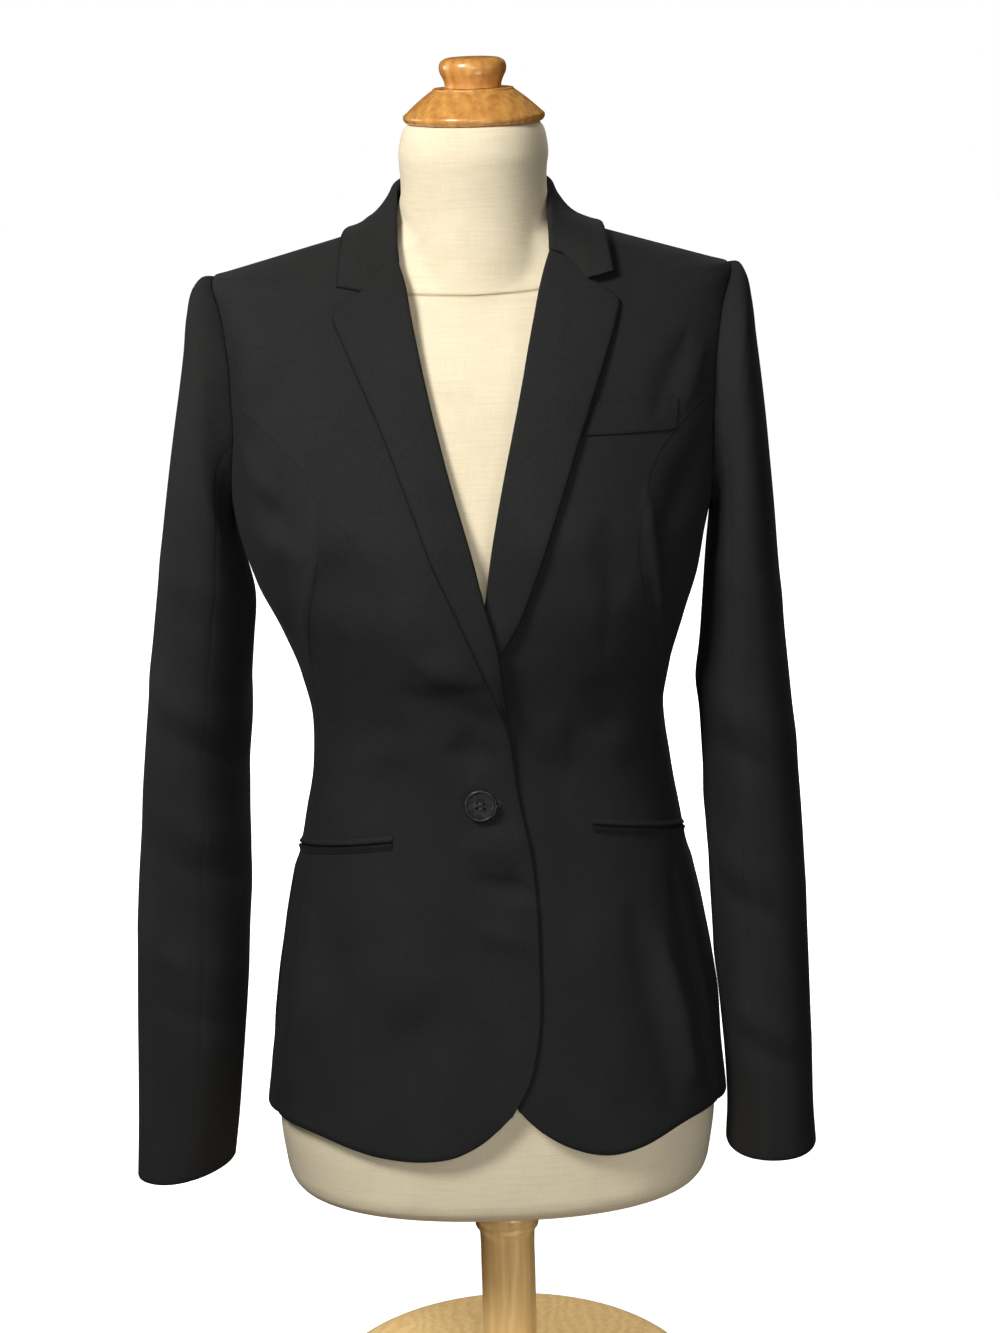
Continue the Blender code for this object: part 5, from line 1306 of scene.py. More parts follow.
@dataclass
class Collar:
    """Collar stand, rolled fold and leaf in one piece of cloth."""

    tailor: Tailor
    stations: int = 230
    arc_steps: int = 12
    stand_steps: int = 22
    turn_station: float = 0.075    # share of the fold where its foot passes turn_girth
    turn_girth: float = 48.0
    tucked: float = 2.2            # degrees that the foot's ends hide under the roll
    fold_radius: float = 0.0026
    left_nearer: float = 0.0012    # the wearer's left front hugs the neck more
    sag: float = 0.0045
    clear: float = 0.0034
    spare: float = 0.0016
    at_fold: float = -0.0030
    fold: Table = table_field(
        "out y height",
        (0.0522, -0.0442, 0.9256), (0.0538, -0.0345, 0.943), (0.0556, -0.016, 0.9625),
        (0.0568, 0.006, 0.9738), (0.0464, 0.034, 0.9795), (0.0262, 0.0518, 0.982), (0, 0.058, 0.983),
    )
    leaf: Table = table_field(
        "out y height",
        (0.0968, -0.0525, 0.9096), (0.095, -0.035, 0.929), (0.093, -0.013, 0.942), (0.0905, 0.008, 0.945),
        (0.082, 0.034, 0.943), (0.06, 0.056, 0.9395), (0.03, 0.0655, 0.94), (0, 0.068, 0.9405),
    )

    def both_halves(self, source: Table) -> Array:
        """Curve from the wearer's right front end, round the back, to the left."""
        pattern = self.tailor.pattern
        out, y, height = rows_of(source).T
        rise = pattern.left_rise * ramp(-y, 0.0, 0.040)
        nearer = self.left_nearer * ramp(-y, -0.010, 0.025) * ramp(y, -0.0442, -0.036)
        halves = [np.stack([pattern.collar_middle + side.value * (out - side.pick(0.0, nearer)), y,
                            height + side.pick(0.0, rise)], axis=1) for side in Side]
        return np.vstack([halves[0], halves[1][-2::-1]])

    def shoulder_height(self, x: Array, y: Array) -> Array:
        """Height of the shoulders and chest over a place, by halving an interval."""
        low, high = np.full(np.shape(x), 0.700), np.full(np.shape(x), 1.000)
        for _ in range(24):
            middle = 0.5 * (low + high)
            half_width, mid_x, mid_y, front, back, square = self.tailor.pattern.surface.section(middle)
            depth = np.where(y < mid_y, front, back)
            inside = np.abs((x - mid_x) / half_width) ** square + np.abs((y - mid_y) / depth) ** square < 1.0
            low, high = np.where(inside, middle, low), np.where(inside, high, middle)
        return low

    def push_out(self, points: Array, clear: Array) -> Array:
        """Move points out until they stand at least clear off the shoulders."""
        step = 0.008
        x, y = points[..., 0], points[..., 1]
        over = self.shoulder_height
        slope_x = (over(x + step, y) - over(x - step, y)) / (2 * step)
        slope_y = (over(x, y + step) - over(x, y - step)) / (2 * step)
        steep = np.sqrt(1.0 + slope_x**2 + slope_y**2)
        direction = np.stack([-slope_x, -slope_y, np.ones(x.shape)], axis=-1) / steep[..., None]
        short = np.maximum(clear - (points[..., 2] - over(x, y)) / steep, 0.0)
        return points + direction * short[..., None]

    def end(self, side: Side) -> tuple[Array, Array]:
        """End on the chest, with its notch corner, and a plain arc between its ends."""
        pattern = self.tailor.pattern
        rows = pattern.gorge_places(side, pattern.collar_tip)
        middle = 0.5 * (rows[0] + rows[-1]) - np.array([0.0, 0.003])
        arc = pattern.drawn(np.vstack([rows[0], middle, rows[-1]]), shares(len(rows)))
        return pattern.on_front(side, *rows.T, self.clear), pattern.on_front(side, *arc.T, self.clear)

    def foot(self, even: Array) -> Array:
        """Places of the stand's foot, from the right roll line round the back."""
        pattern = self.tailor.pattern
        nearest = np.minimum(even, 1.0 - even)
        halves = []
        for side in Side:
            start = mirrored(pattern.gorge_places(side, pattern.collar_tip)[:1], side)
            knots = np.vstack([start, mirrored(pattern.front_edge(side)[-3:], side),
                               rows_of(pattern.neckline)[-2:]])
            girth = smooth(np.array([0.0, self.turn_station, 0.5]),
                           np.array([start[0, 0], self.turn_girth, 180.0]), nearest)
            level = smooth(knots[:, 0], knots[:, 1], girth)
            girth = girth + self.tucked * (1.0 - ramp(nearest, 0.0, self.turn_station))
            halves.append(np.stack([side.value * girth, level], axis=1))
        return np.where(even[:, None] <= 0.5, halves[0], halves[1])

    def leaf_grid(self, even: Array) -> tuple[Array, Array]:
        """Outer face of the leaf and its outward directions.

        A Coons patch between fold, edge and ends, which sags a little.  Where it
        would touch the shoulders it moves out, and these moves are averaged over
        their neighbours.
        """
        pattern = self.tailor.pattern
        nearest = np.minimum(even, 1.0 - even)
        fold = run_through(self.both_halves(self.fold), even)
        leaf = run_through(self.both_halves(self.leaf), even)
        start, start_arc = self.end(Side.RIGHT)
        end, end_arc = self.end(Side.LEFT)
        fold[0], leaf[0], fold[-1], leaf[-1] = start[0], start[-1], end[0], end[-1]
        grid = coons(fold, leaf, start_arc, end_arc)
        for shift, away in ((start - start_arc, even), (end - end_arc, 1.0 - even)):
            grid = grid + shift[None] * np.exp(-(away / 0.055) ** 1.5)[:, None, None]
        share = shares(len(start))
        centre = np.array([pattern.collar_middle, 0.0, 0.0])
        inward = 0.7 * (unit((centre - grid) * (1.0 - UP)) - UP)
        behind_chest = ramp(grid[..., 1], -0.040, -0.005)
        grid = grid + inward * (self.sag * 4 * share * (1 - share) * behind_chest)[..., None]
        spare = self.spare * ramp(nearest, 0.0, 0.10)[:, None]
        needed = self.at_fold + (self.clear + spare - self.at_fold) * ramp(share, 0.05, 0.60)
        moved = self.push_out(grid, needed) - grid
        for axis in (0, 1, 0, 1):
            wide = np.pad(moved, [(5, 5) if k == axis else (0, 0) for k in range(3)], mode="edge")
            moved = np.mean([np.take(wide, np.arange(k, k + moved.shape[axis]), axis=axis)
                             for k in range(11)], axis=0)
        grid = grid + moved * ramp(nearest, 0.0, 0.04)[:, None, None]
        outward = -grid_direction(grid)
        for side, count in ((Side.RIGHT, even), (Side.LEFT, 1.0 - even)):
            chest = pattern.surface.direction(*pattern.gorge_places(side, pattern.collar_tip).T)
            outward = outward + (chest - outward) * (1.0 - ramp(count, 0.0, 0.07))[:, None, None]
        return grid, unit(outward)

    def patch(self) -> Patch:
        """Leaf, half circle at the fold, and a Hermite curve from there to the foot."""
        surface = self.tailor.pattern.surface
        even = shares(self.stations + 1)
        grid, outward = self.leaf_grid(even)
        inner = grid - outward * WALL
        ends = gorge_inset(grid.shape[1])
        draw_in(grid, inner, (0.0, RIM, ends, ends))
        for row in (0, -1):
            soften_corner(grid, inner, row, -1)
        mitre = 1.0 - ramp(np.minimum(even, 1.0 - even), 0.0, 0.06)
        outer_roll, inner_roll, along = rolled_edge(
            grid, inner, np.full(len(grid), self.fold_radius), mitre, self.arc_steps)
        girth, level = self.foot(even).T
        t = shares(self.stand_steps + 1)[:-1][None, :, None]
        stands = []
        for lift, high in ((-WALL, outer_roll[:, 0]), (0.0, inner_roll[:, 0])):
            low = surface.point(girth, level + 0.0006, lift)
            reach = np.linalg.norm(high - low, axis=1, keepdims=True)
            leave, arrive = UP * reach * 0.9, -along * reach * 0.7
            stands.append(hermite(t, low[:, None], high[:, None], leave[:, None], arrive[:, None]))
        outer = np.concatenate([stands[0], outer_roll, grid], axis=1)
        inner = np.concatenate([stands[1], inner_roll, inner], axis=1)
        across, _, length, _ = edge_distances(outer)
        grain = np.stack([length.mean(axis=1, keepdims=True) + 0.0 * across, across], axis=-1)
        # Painted shade: darkest beside the leaf's outer edge, lighter beside the stand's foot and the
        # collar's ends.
        return Patch(outer, inner, grain, edge_closeness(outer, (0.6, 0.95, 0.6, 0.6)),
                     (False, True, True, True))

    def build(self) -> None:
        """Make and dress the collar."""
        self.tailor.sew("collar", self.patch(), "folded", "right_back_cloth", "left_back_cloth",
                        nodes=("collar_leaf", "collar_stand"))


# ---------------------------------------------------------------- sleeves
@dataclass
class Sleeves:
    """Two-piece sleeves that hang from the armholes."""

    tailor: Tailor
    rows: int = 210
    square: float = 2.15
    relief: float = 1.6
    # Painted shade beside the sleeve's long seams.
    seam_shade: float = 0.36
    hole_depth: float = 0.0003
    hole_wall: float = 0.0003      # the sleeve's wall starts this thin at the armhole
    girth: float = 0.36            # mean girth, for the weave
    cuff_turning: float = 0.036
    cuff_layer: float = 0.0008
    right: Table = table_field(
        "outer_x outer_height inner_x inner_height half_depth mid_y turn keep",
        (-0.1885, 0.9135, -0.1813, 0.742, 0.044, 0.005, 0, 1),
        (-0.1968, 0.9132, -0.1838, 0.7345, 0.049, 0.0045, 0, 0.62),
        (-0.2036, 0.9062, -0.1838, 0.727, 0.053, 0.004, 0, 0.3),
        (-0.2085, 0.889, -0.1828, 0.719, 0.0555, 0.0035, 0, 0.12),
        (-0.212, 0.864, -0.181, 0.71, 0.0575, 0.003, 0, 0.03),
        (-0.2165, 0.838, -0.1785, 0.7005, 0.059, 0.002, 0, 0),
        (-0.2218, 0.808, -0.1765, 0.69, 0.06, 0.001, 2, 0),
        (-0.2272, 0.776, -0.1752, 0.679, 0.0605, 0, 4, 0),
        (-0.2325, 0.742, -0.1745, 0.667, 0.0605, -0.001, 6, 0),
        (-0.238, 0.704, -0.1745, 0.652, 0.06, -0.002, 8, 0),
        (-0.244, 0.662, -0.1765, 0.63, 0.059, -0.0035, 10, 0),
        (-0.25, 0.615, -0.1797, 0.603, 0.057, -0.0055, 13, 0),
        (-0.2565, 0.562, -0.182, 0.562, 0.0545, -0.008, 16, 0),
        (-0.2615, 0.512, -0.1845, 0.512, 0.0515, -0.011, 20, 0),
        (-0.267, 0.462, -0.1862, 0.462, 0.049, -0.014, 24, 0),
        (-0.2705, 0.412, -0.1895, 0.412, 0.047, -0.0175, 28, 0),
        (-0.2732, 0.362, -0.1938, 0.362, 0.0455, -0.021, 31, 0),
        (-0.2755, 0.312, -0.1995, 0.312, 0.044, -0.024, 34, 0),
        (-0.2778, 0.27, -0.2045, 0.27, 0.043, -0.0262, 36, 0),
        (-0.28, 0.237, -0.209, 0.24, 0.0425, -0.028, 37, 0),
    )
    left: Table = table_field(
        "outer_x outer_height inner_x inner_height half_depth mid_y turn keep",
        (0.177, 0.9135, 0.1617, 0.742, 0.044, 0.005, 0, 1),
        (0.185, 0.9134, 0.1645, 0.7345, 0.049, 0.0045, 0, 0.62),
        (0.1898, 0.9064, 0.1646, 0.727, 0.053, 0.004, 0, 0.3),
        (0.1938, 0.889, 0.1637, 0.719, 0.0555, 0.0035, 0, 0.12),
        (0.1968, 0.864, 0.1624, 0.71, 0.0575, 0.003, 0, 0.03),
        (0.2, 0.838, 0.161, 0.7005, 0.059, 0.002, 0, 0), (0.2033, 0.808, 0.1598, 0.69, 0.06, 0.001, 0, 0),
        (0.2062, 0.776, 0.1588, 0.679, 0.0605, 0, 0, 0),
        (0.2092, 0.742, 0.1578, 0.667, 0.0605, -0.001, 0, 0),
        (0.212, 0.704, 0.1566, 0.652, 0.06, -0.002, 0, 0),
        (0.2155, 0.662, 0.155, 0.63, 0.059, -0.0035, 0, 0),
        (0.22, 0.615, 0.1536, 0.603, 0.057, -0.0055, 0, 0),
        (0.225, 0.562, 0.1552, 0.562, 0.0545, -0.008, 0, 0),
        (0.2288, 0.512, 0.1578, 0.512, 0.0515, -0.011, 0, 0),
        (0.2315, 0.462, 0.1598, 0.462, 0.049, -0.0135, 0, 0),
        (0.2335, 0.412, 0.1624, 0.412, 0.047, -0.016, 0, 0),
        (0.2352, 0.362, 0.1664, 0.362, 0.0455, -0.0182, 0, 0),
        (0.2368, 0.312, 0.1706, 0.312, 0.044, -0.02, 0, 0),
        (0.238, 0.27, 0.1722, 0.27, 0.043, -0.021, 0, 0), (0.24, 0.243, 0.171, 0.243, 0.042, -0.0215, 0, 0),
    )
    # Soft folds across a sleeve: height at its front, fall per degree round it,
    # where round the sleeve the fold is deepest and how far round it reaches.
    right_folds: Table = table_field(
        "height slope spread rise turn reach",
        (0.7, -0.00022, 0.014, 0.0012, 100, 70), (0.61, -0.0003, 0.015, 0.0024, 110, 70),
        (0.585, -0.00034, 0.01, -0.0014, 120, 55), (0.52, -0.00026, 0.016, 0.0018, 110, 60),
        (0.492, -0.0003, 0.011, -0.0013, 120, 50), (0.415, -0.00026, 0.014, 0.0014, 100, 60),
        (0.375, -0.0003, 0.011, -0.0014, 110, 45), (0.64, 0.0003, 0.016, 0.0022, 250, 70),
        (0.56, 0.00034, 0.016, 0.0018, 245, 60), (0.43, 0.00028, 0.017, 0.0014, 255, 70),
    )
    left_folds: Table = table_field(
        "height slope spread rise turn reach",
        (0.69, 0.00022, 0.014, 0.0012, 90, 70), (0.59, 0.0003, 0.016, 0.0022, 100, 70),
        (0.558, 0.0003, 0.011, -0.0014, 110, 50), (0.47, 0.00026, 0.016, 0.0018, 100, 60),
        (0.443, 0.0003, 0.01, -0.0012, 115, 50), (0.352, 0.0003, 0.015, 0.0016, 90, 50),
        (0.328, 0.00034, 0.011, -0.0014, 100, 45), (0.635, -0.0003, 0.016, 0.0022, 250, 70),
        (0.55, -0.00034, 0.016, 0.0018, 245, 60), (0.42, -0.00028, 0.017, 0.0014, 255, 70),
    )

    def armhole(self, side: Side) -> Array:
        """Armhole round from the shoulder tip: front, under the arm, back."""
        pattern = self.tailor.pattern
        n = pattern.side_rows
        front = pattern.side_curve(pattern.side_front_seam(side), pattern.armhole_front)[n:][::-1]
        under = pattern.drawn(pattern.armhole_under, shares(pattern.under_columns + 1))
        back = pattern.side_curve(pattern.side_back, pattern.armhole_back)[n:]
        return mirrored(np.vstack([front, under[1:], back[1:-1]]), side)

    def fold_rise(self, folds: Table, turn: Array, height: Array) -> Array:
        """Ridges and hollows: a bell across each slanted line, a bell round the arm."""
        total = np.zeros(height.shape)
        for level, slope, spread, rise, deepest, reach in rows_of(folds):
            across = (height - level - slope * (turn - 90.0)) / spread
            total += rise * np.exp(-(across**2) - ((turn - deepest) / reach) ** 2)
        return total

    def patch(self, side: Side) -> Patch:
        """Whole sleeve; columns run round from the shoulder tip.

        Each ring is a superellipse between its outer and inner point, turned about
        the upright axis.  Near the armhole the rings keep a share of the armhole's
        own departure from the first ring.
        """
        surface = self.tailor.pattern.surface
        hole = self.armhole(side)
        hole_outer = surface.point(*hole.T)
        steps = np.linalg.norm(np.roll(hole_outer, -1, axis=0) - hole_outer, axis=1)
        turn = 360.0 * np.concatenate([[0.0], np.cumsum(steps)[:-1]]) / steps.sum()
        spine = run_through(rows_of(side.pick(self.right, self.left)), shares(self.rows + 1),
                            (1, 1, 1, 1, 0, 0, 0, 0))
        outer_x, outer_z, inner_x, inner_z, half_depth, mid_y, twist, keep = spine.T[..., None]
        around, twist = np.radians(turn + twist), np.radians(twist)
        across, depth = (np.sign(wave) * np.abs(wave) ** (2.0 / self.square)
                         for wave in (np.cos(around), np.sin(around)))
        half_x = 0.5 * (outer_x - inner_x)
        kept = np.sqrt(half_x**2 - (half_depth * np.sin(twist)) ** 2) / np.cos(twist)
        local_x, local_y = across * np.sign(half_x) * kept, -depth * half_depth
        x = 0.5 * (outer_x + inner_x) + local_x * np.cos(twist) - side.value * local_y * np.sin(twist)
        y = mid_y + local_y * np.cos(twist) + side.value * local_x * np.sin(twist)
        grid = np.stack([x, y, 0.5 * (outer_z + inner_z + across * (outer_z - inner_z))], axis=-1)
        grid = grid + keep[..., None] * (hole_outer - grid[0])
        closed = np.concatenate([grid[:, -1:], grid, grid[:, :1]], axis=1)
        direction = grid_direction(closed)[:, 1:-1] * side.value
        folds = self.fold_rise(side.pick(self.right_folds, self.left_folds), turn, grid[..., 2])
        rise = self.relief * folds * ramp(-grid[..., 2], -0.760, -0.700)
        grid = grid + direction * rise[..., None]
        _, _, from_hole, from_cuff = edge_distances(grid)
        wall = (self.hole_wall + (WALL - self.hole_wall) * ramp(from_hole, 0.0, 0.008)
                + self.cuff_layer * turned_in(from_cuff, self.cuff_turning))
        sink = self.hole_depth * np.exp(-(from_hole / self.tailor.seam_width) ** 2)
        facing = np.clip(np.sum(surface.direction(*hole.T) * direction[4], axis=1), 0.0, 1.0)
        outer = grid - direction * (sink * facing)[..., None]
        inner = outer - direction * wall[..., None]
        away = unit(outer[3] - outer[0]) * 2 * SEAM_GAP
        for k in range(3):
            outer[k] += away * (1 - k / 3)
            inner[k] += away * (1 - k / 3)
        _, _, from_hole, from_cuff = edge_distances(outer)
        round_it = np.broadcast_to(self.girth * np.arange(len(hole)) / len(hole), from_cuff.shape)
        grain = np.stack([round_it, from_cuff], axis=-1)
        # Painted shade beside the armhole and the cuff.
        edge = np.exp(-np.minimum(from_hole, from_cuff) / EDGE_SHADE_FADE)
        return Patch(outer, inner, grain, edge, (False, False, False, True))

    def build(self) -> None:
        """Make and dress the top and under sleeves."""
        pattern = self.tailor.pattern
        first = pattern.arm_rows + round(pattern.under_columns / 6)
        last = pattern.arm_rows + pattern.under_columns + round(pattern.arm_rows / 8)
        for side in Side:
            whole = self.patch(side)
            count = whole.outer.shape[1]
            for name, start, stop in (("under_sleeve", first, last), ("top_sleeve", last, count + first)):
                columns = np.arange(start, stop + 1)
                patch = whole.part(columns % count)
                patch.grain[..., 0] = self.girth * columns / count
                left, right, _, _ = edge_distances(patch.outer)
                near = np.minimum(left, right)
                sink = self.hole_depth * np.exp(-(near / self.tailor.seam_width) ** 2)
                sunk = unit(patch.outer - patch.inner) * sink[..., None]
                patch.outer -= sunk
                patch.inner -= sunk
                draw_in(patch.outer, patch.inner, (SEAM_GAP, SEAM_GAP, 0.0, RIM))
                # Painted shade beside the sleeve's long seams, joined to the one beside armhole and cuff.
                patch.edge = np.maximum(patch.edge, self.seam_shade * np.exp(-near / EDGE_SHADE_FADE))
                self.tailor.sew(f"{side.word}_{name}", patch, "hung")


# ---------------------------------------------------------------- pockets
@dataclass
class Pockets:
    """Jetted hip pockets and the slanted chest welt."""

    tailor: Tailor
    inner_girth: float = 28.0
    outer_girth: float = 83.0
    right_slit: tuple[float, float] = (0.5172, 0.4925)
    left_slit: tuple[float, float] = (0.5262, 0.4985)
    jet_width: float = 0.0058
    slit: float = 0.0009
    base: float = 0.0003
    rise: float = 0.0019
    columns: int = 130
    welt: Table = table_field(
        "x height",
        (0.068, 0.81), (0.1345, 0.8078), (0.1368, 0.8302), (0.0765, 0.833),
    )
    welt_rise: float = 0.0009
    # Painted shadow under a strip's lower edge.
    lower_edge_shade: float = 0.95       # how dark a strip's lower edge is

    def strip(self, side: Side, grid: Array, profile: Array) -> Patch:
        """Strip of cloth on a front; its outer face follows a rise profile."""
        pattern = self.tailor.pattern
        girth, height = grid[..., 0], grid[..., 1]
        outer = pattern.on_front(side, girth, height, self.base + profile)
        inner = pattern.on_front(side, girth, height, self.base)
        # Painted shade beside the strip's edges, darkest under its lower edge.
        return Patch(outer, inner, pattern.surface.grain(girth, height),
                     edge_closeness(outer, (0.6, 0.6, self.lower_edge_shade, 0.5)))

    def build(self) -> None:
        """Make and dress the four jets and the welt."""
        share, across = shares(self.columns + 1), shares(13)[:, None]
        ends = ramp(np.minimum(share, 1.0 - share), -0.010, 0.012)
        profile = np.maximum(self.rise * (1.0 - 0.72 * ramp(across, 0.15, 1.0)) * ends, 0.0005)
        for side in Side:
            start, end = side.pick(self.right_slit, self.left_slit)
            girth = side.value * (self.inner_girth + (self.outer_girth - self.inner_girth) * share)
            for name, way in (("upper_jet", 1.0), ("lower_jet", -1.0)):
                rise = way * (0.5 * self.slit + RIM + (self.jet_width - 2 * RIM) * across)
                height = start + (end - start) * share + rise
                grid = np.stack([np.broadcast_to(girth, height.shape), height], axis=-1)
                self.tailor.sew(f"{side.word}_{name}", self.strip(side, grid, profile), "laid",
                                f"{side.word}_front_cloth")
        x, height = rows_of(self.welt).T
        corners = np.stack([self.tailor.pattern.surface.girth_at(x, height), height], axis=1)
        u, v = shares(91)[:, None], shares(37)[:, None, None]
        low = corners[0] + (corners[1] - corners[0]) * u
        high = corners[3] + (corners[2] - corners[3]) * u
        patch = self.strip(Side.LEFT, low * (1 - v) + high * v, self.welt_rise * (1.0 - 0.35 * v[..., 0]))
        draw_in(patch.outer, patch.inner, (RIM, RIM, RIM, RIM))
        self.tailor.sew("chest_welt", patch, "laid", "left_front_cloth")


# ---------------------------------------------------------------- button
@dataclass
class FrontButton:
    """Four-hole button, its thread and the worked buttonhole."""

    tailor: Tailor
    horn: bpy.types.Material
    twist: bpy.types.Material
    place: tuple[float, float] = (-0.0092, 0.5488)
    radius: float = 0.0118
    thick: float = 0.0036
    rim: float = 0.0022
    dish: float = 0.0009
    hole_radius: float = 0.0010
    hole_spread: float = 0.0020
    strand: float = 0.00042        # between the strands of thread
    clear: float = 0.0015
    sides: int = 96

    def seat(self) -> tuple[Array, Array]:
        """Middle of the button's underside, and its sideways, up and outward directions."""
        pattern = self.tailor.pattern
        x, height = (self.radius * circle(16, *np.eye(2)) + self.place).T
        rim = pattern.on_front(Side.RIGHT, pattern.surface.girth_at(x, height), height, 0.0)
        middle = rim.mean(axis=0)
        out = unit(np.cross(rim[0] - rim[8], rim[4] - rim[12]))
        side_way = unit(np.cross(UP, out))
        middle = middle + out * (np.max((rim - middle) @ out) + self.clear)
        return middle, np.array([side_way, np.cross(out, side_way), out])

    def build(self) -> None:
        """Make and dress the button, thread, shank and buttonhole."""
        middle, axes = self.seat()
        side_way, up_way, out = axes
        rim_in, floor = self.radius - self.rim, self.thick - self.dish
        crown = self.thick - 0.5 * self.rim
        t, a, sweep = 0.5 * np.pi * shares(9), np.pi * shares(15), shares(9)[1:]
        back = self.radius * (0.55 + 0.45 * np.sin(t)), 0.42 * self.thick * (1 - np.cos(t))
        front = self.radius - 0.5 * self.rim * (1 - np.cos(a)), crown + 0.5 * self.rim * np.sin(a)
        dish = rim_in * (1 - 0.45 * sweep), crown - (crown - floor) * np.sin(0.5 * np.pi * sweep)
        inner = np.linspace(0.50 * rim_in, 0.04 * rim_in, 5), np.full(5, floor)
        profile = np.hstack([back, front, dish, inner]).T
        button = lathe("front_button", profile, self.sides, middle, axes)
        self.drill(button, middle, axes)
        dress(button, self.horn, Slot.BUTTON, "button")

        rows = np.array([row * self.hole_spread + offset for row in (-1, 1)
                         for offset in (-self.strand, 0.0, self.strand)])[:, None]
        base = middle + rows * up_way + out * (floor - 0.0002)
        reach = side_way * self.hole_spread
        thread = rods("button_thread", base - reach, base + reach, out * 0.0007 + 0.0 * rows, 0.00026, 8, 10)
        dress(thread, self.twist, Slot.BUTTON)

        wound = 0.0021 + 0.0002 * np.sin(10 * np.pi * shares(25))
        level = np.linspace(-self.clear - 0.0004, 0.0005, 25)
        shank = lathe("button_shank", np.stack([wound, level], axis=1), 24, middle, axes)
        dress(shank, self.twist, Slot.BUTTON)
        self.buttonhole()

    def drill(self, button: bpy.types.Object, middle: Array, axes: Array) -> None:
        """Cut the four holes with an exact Boolean and keep the result."""
        floor = self.thick - self.dish
        profile = np.stack([np.array([1.0, 1.0, 1.0, 1.35]) * self.hole_radius,
                            [-0.002, 0.5 * floor, floor - 0.00035, floor + 0.00045]], axis=1)
        cutters = []
        for number, (a, b) in enumerate(((-1, -1), (1, -1), (1, 1), (-1, 1))):
            base = middle + self.hole_spread * (a * axes[0] + b * axes[1])
            cutters.append(lathe(f"cutter_{number}", profile, 24, base, axes))
            cut = button.modifiers.new(cutters[-1].name, "BOOLEAN")
            cut.operation = "DIFFERENCE"
            cut.object = cutters[-1]
        old = button.data
        button.data = bpy.data.meshes.new_from_object(
            button.evaluated_get(bpy.context.evaluated_depsgraph_get()))
        button.modifiers.clear()
        button.data.name = "front_button"
        bpy.data.meshes.remove(old)
        for cutter in cutters:
            bpy.data.objects.remove(cutter, do_unlink=True)
        button.data.shade_smooth()
        button.data.set_sharp_from_angle(angle=math.radians(38.0))

    def buttonhole(self) -> None:
        """Keyhole slit with purl stitches worked round it."""
        pattern = self.tailor.pattern
        half, eye, shift = 0.0118, 0.0016, 0.0012
        x, height = self.place
        along, across = circle(92, *np.eye(2)).T
        path_x = x + shift + half * np.sign(along) * np.abs(along) ** 0.55
        swell = eye * np.exp(-((path_x - (x + shift + half)) / 0.0022) ** 2)
        path_z = height + across * (0.00055 + swell)

        def lifted(px: Array, pz: Array, more: float) -> Array:
            """Point of the right front at x and height, moved out."""
            return pattern.on_front(Side.RIGHT, pattern.surface.girth_at(px, pz), pz, more)

        away = np.stack([np.gradient(path_z), -np.gradient(path_x)])
        away = away / np.hypot(*away)
        away = away * np.sign(np.median(away[1] * across))
        starts = lifted(path_x, path_z, 0.0002)
        ends = lifted(path_x + 0.0015 * away[0], path_z + 0.0015 * away[1], 0.0000)
        bow = lifted(path_x, path_z, 0.0005) - lifted(path_x, path_z, 0.0)
        dress(rods("buttonhole_stitches", starts, ends, bow, 0.00028), self.twist, Slot.SUITING)


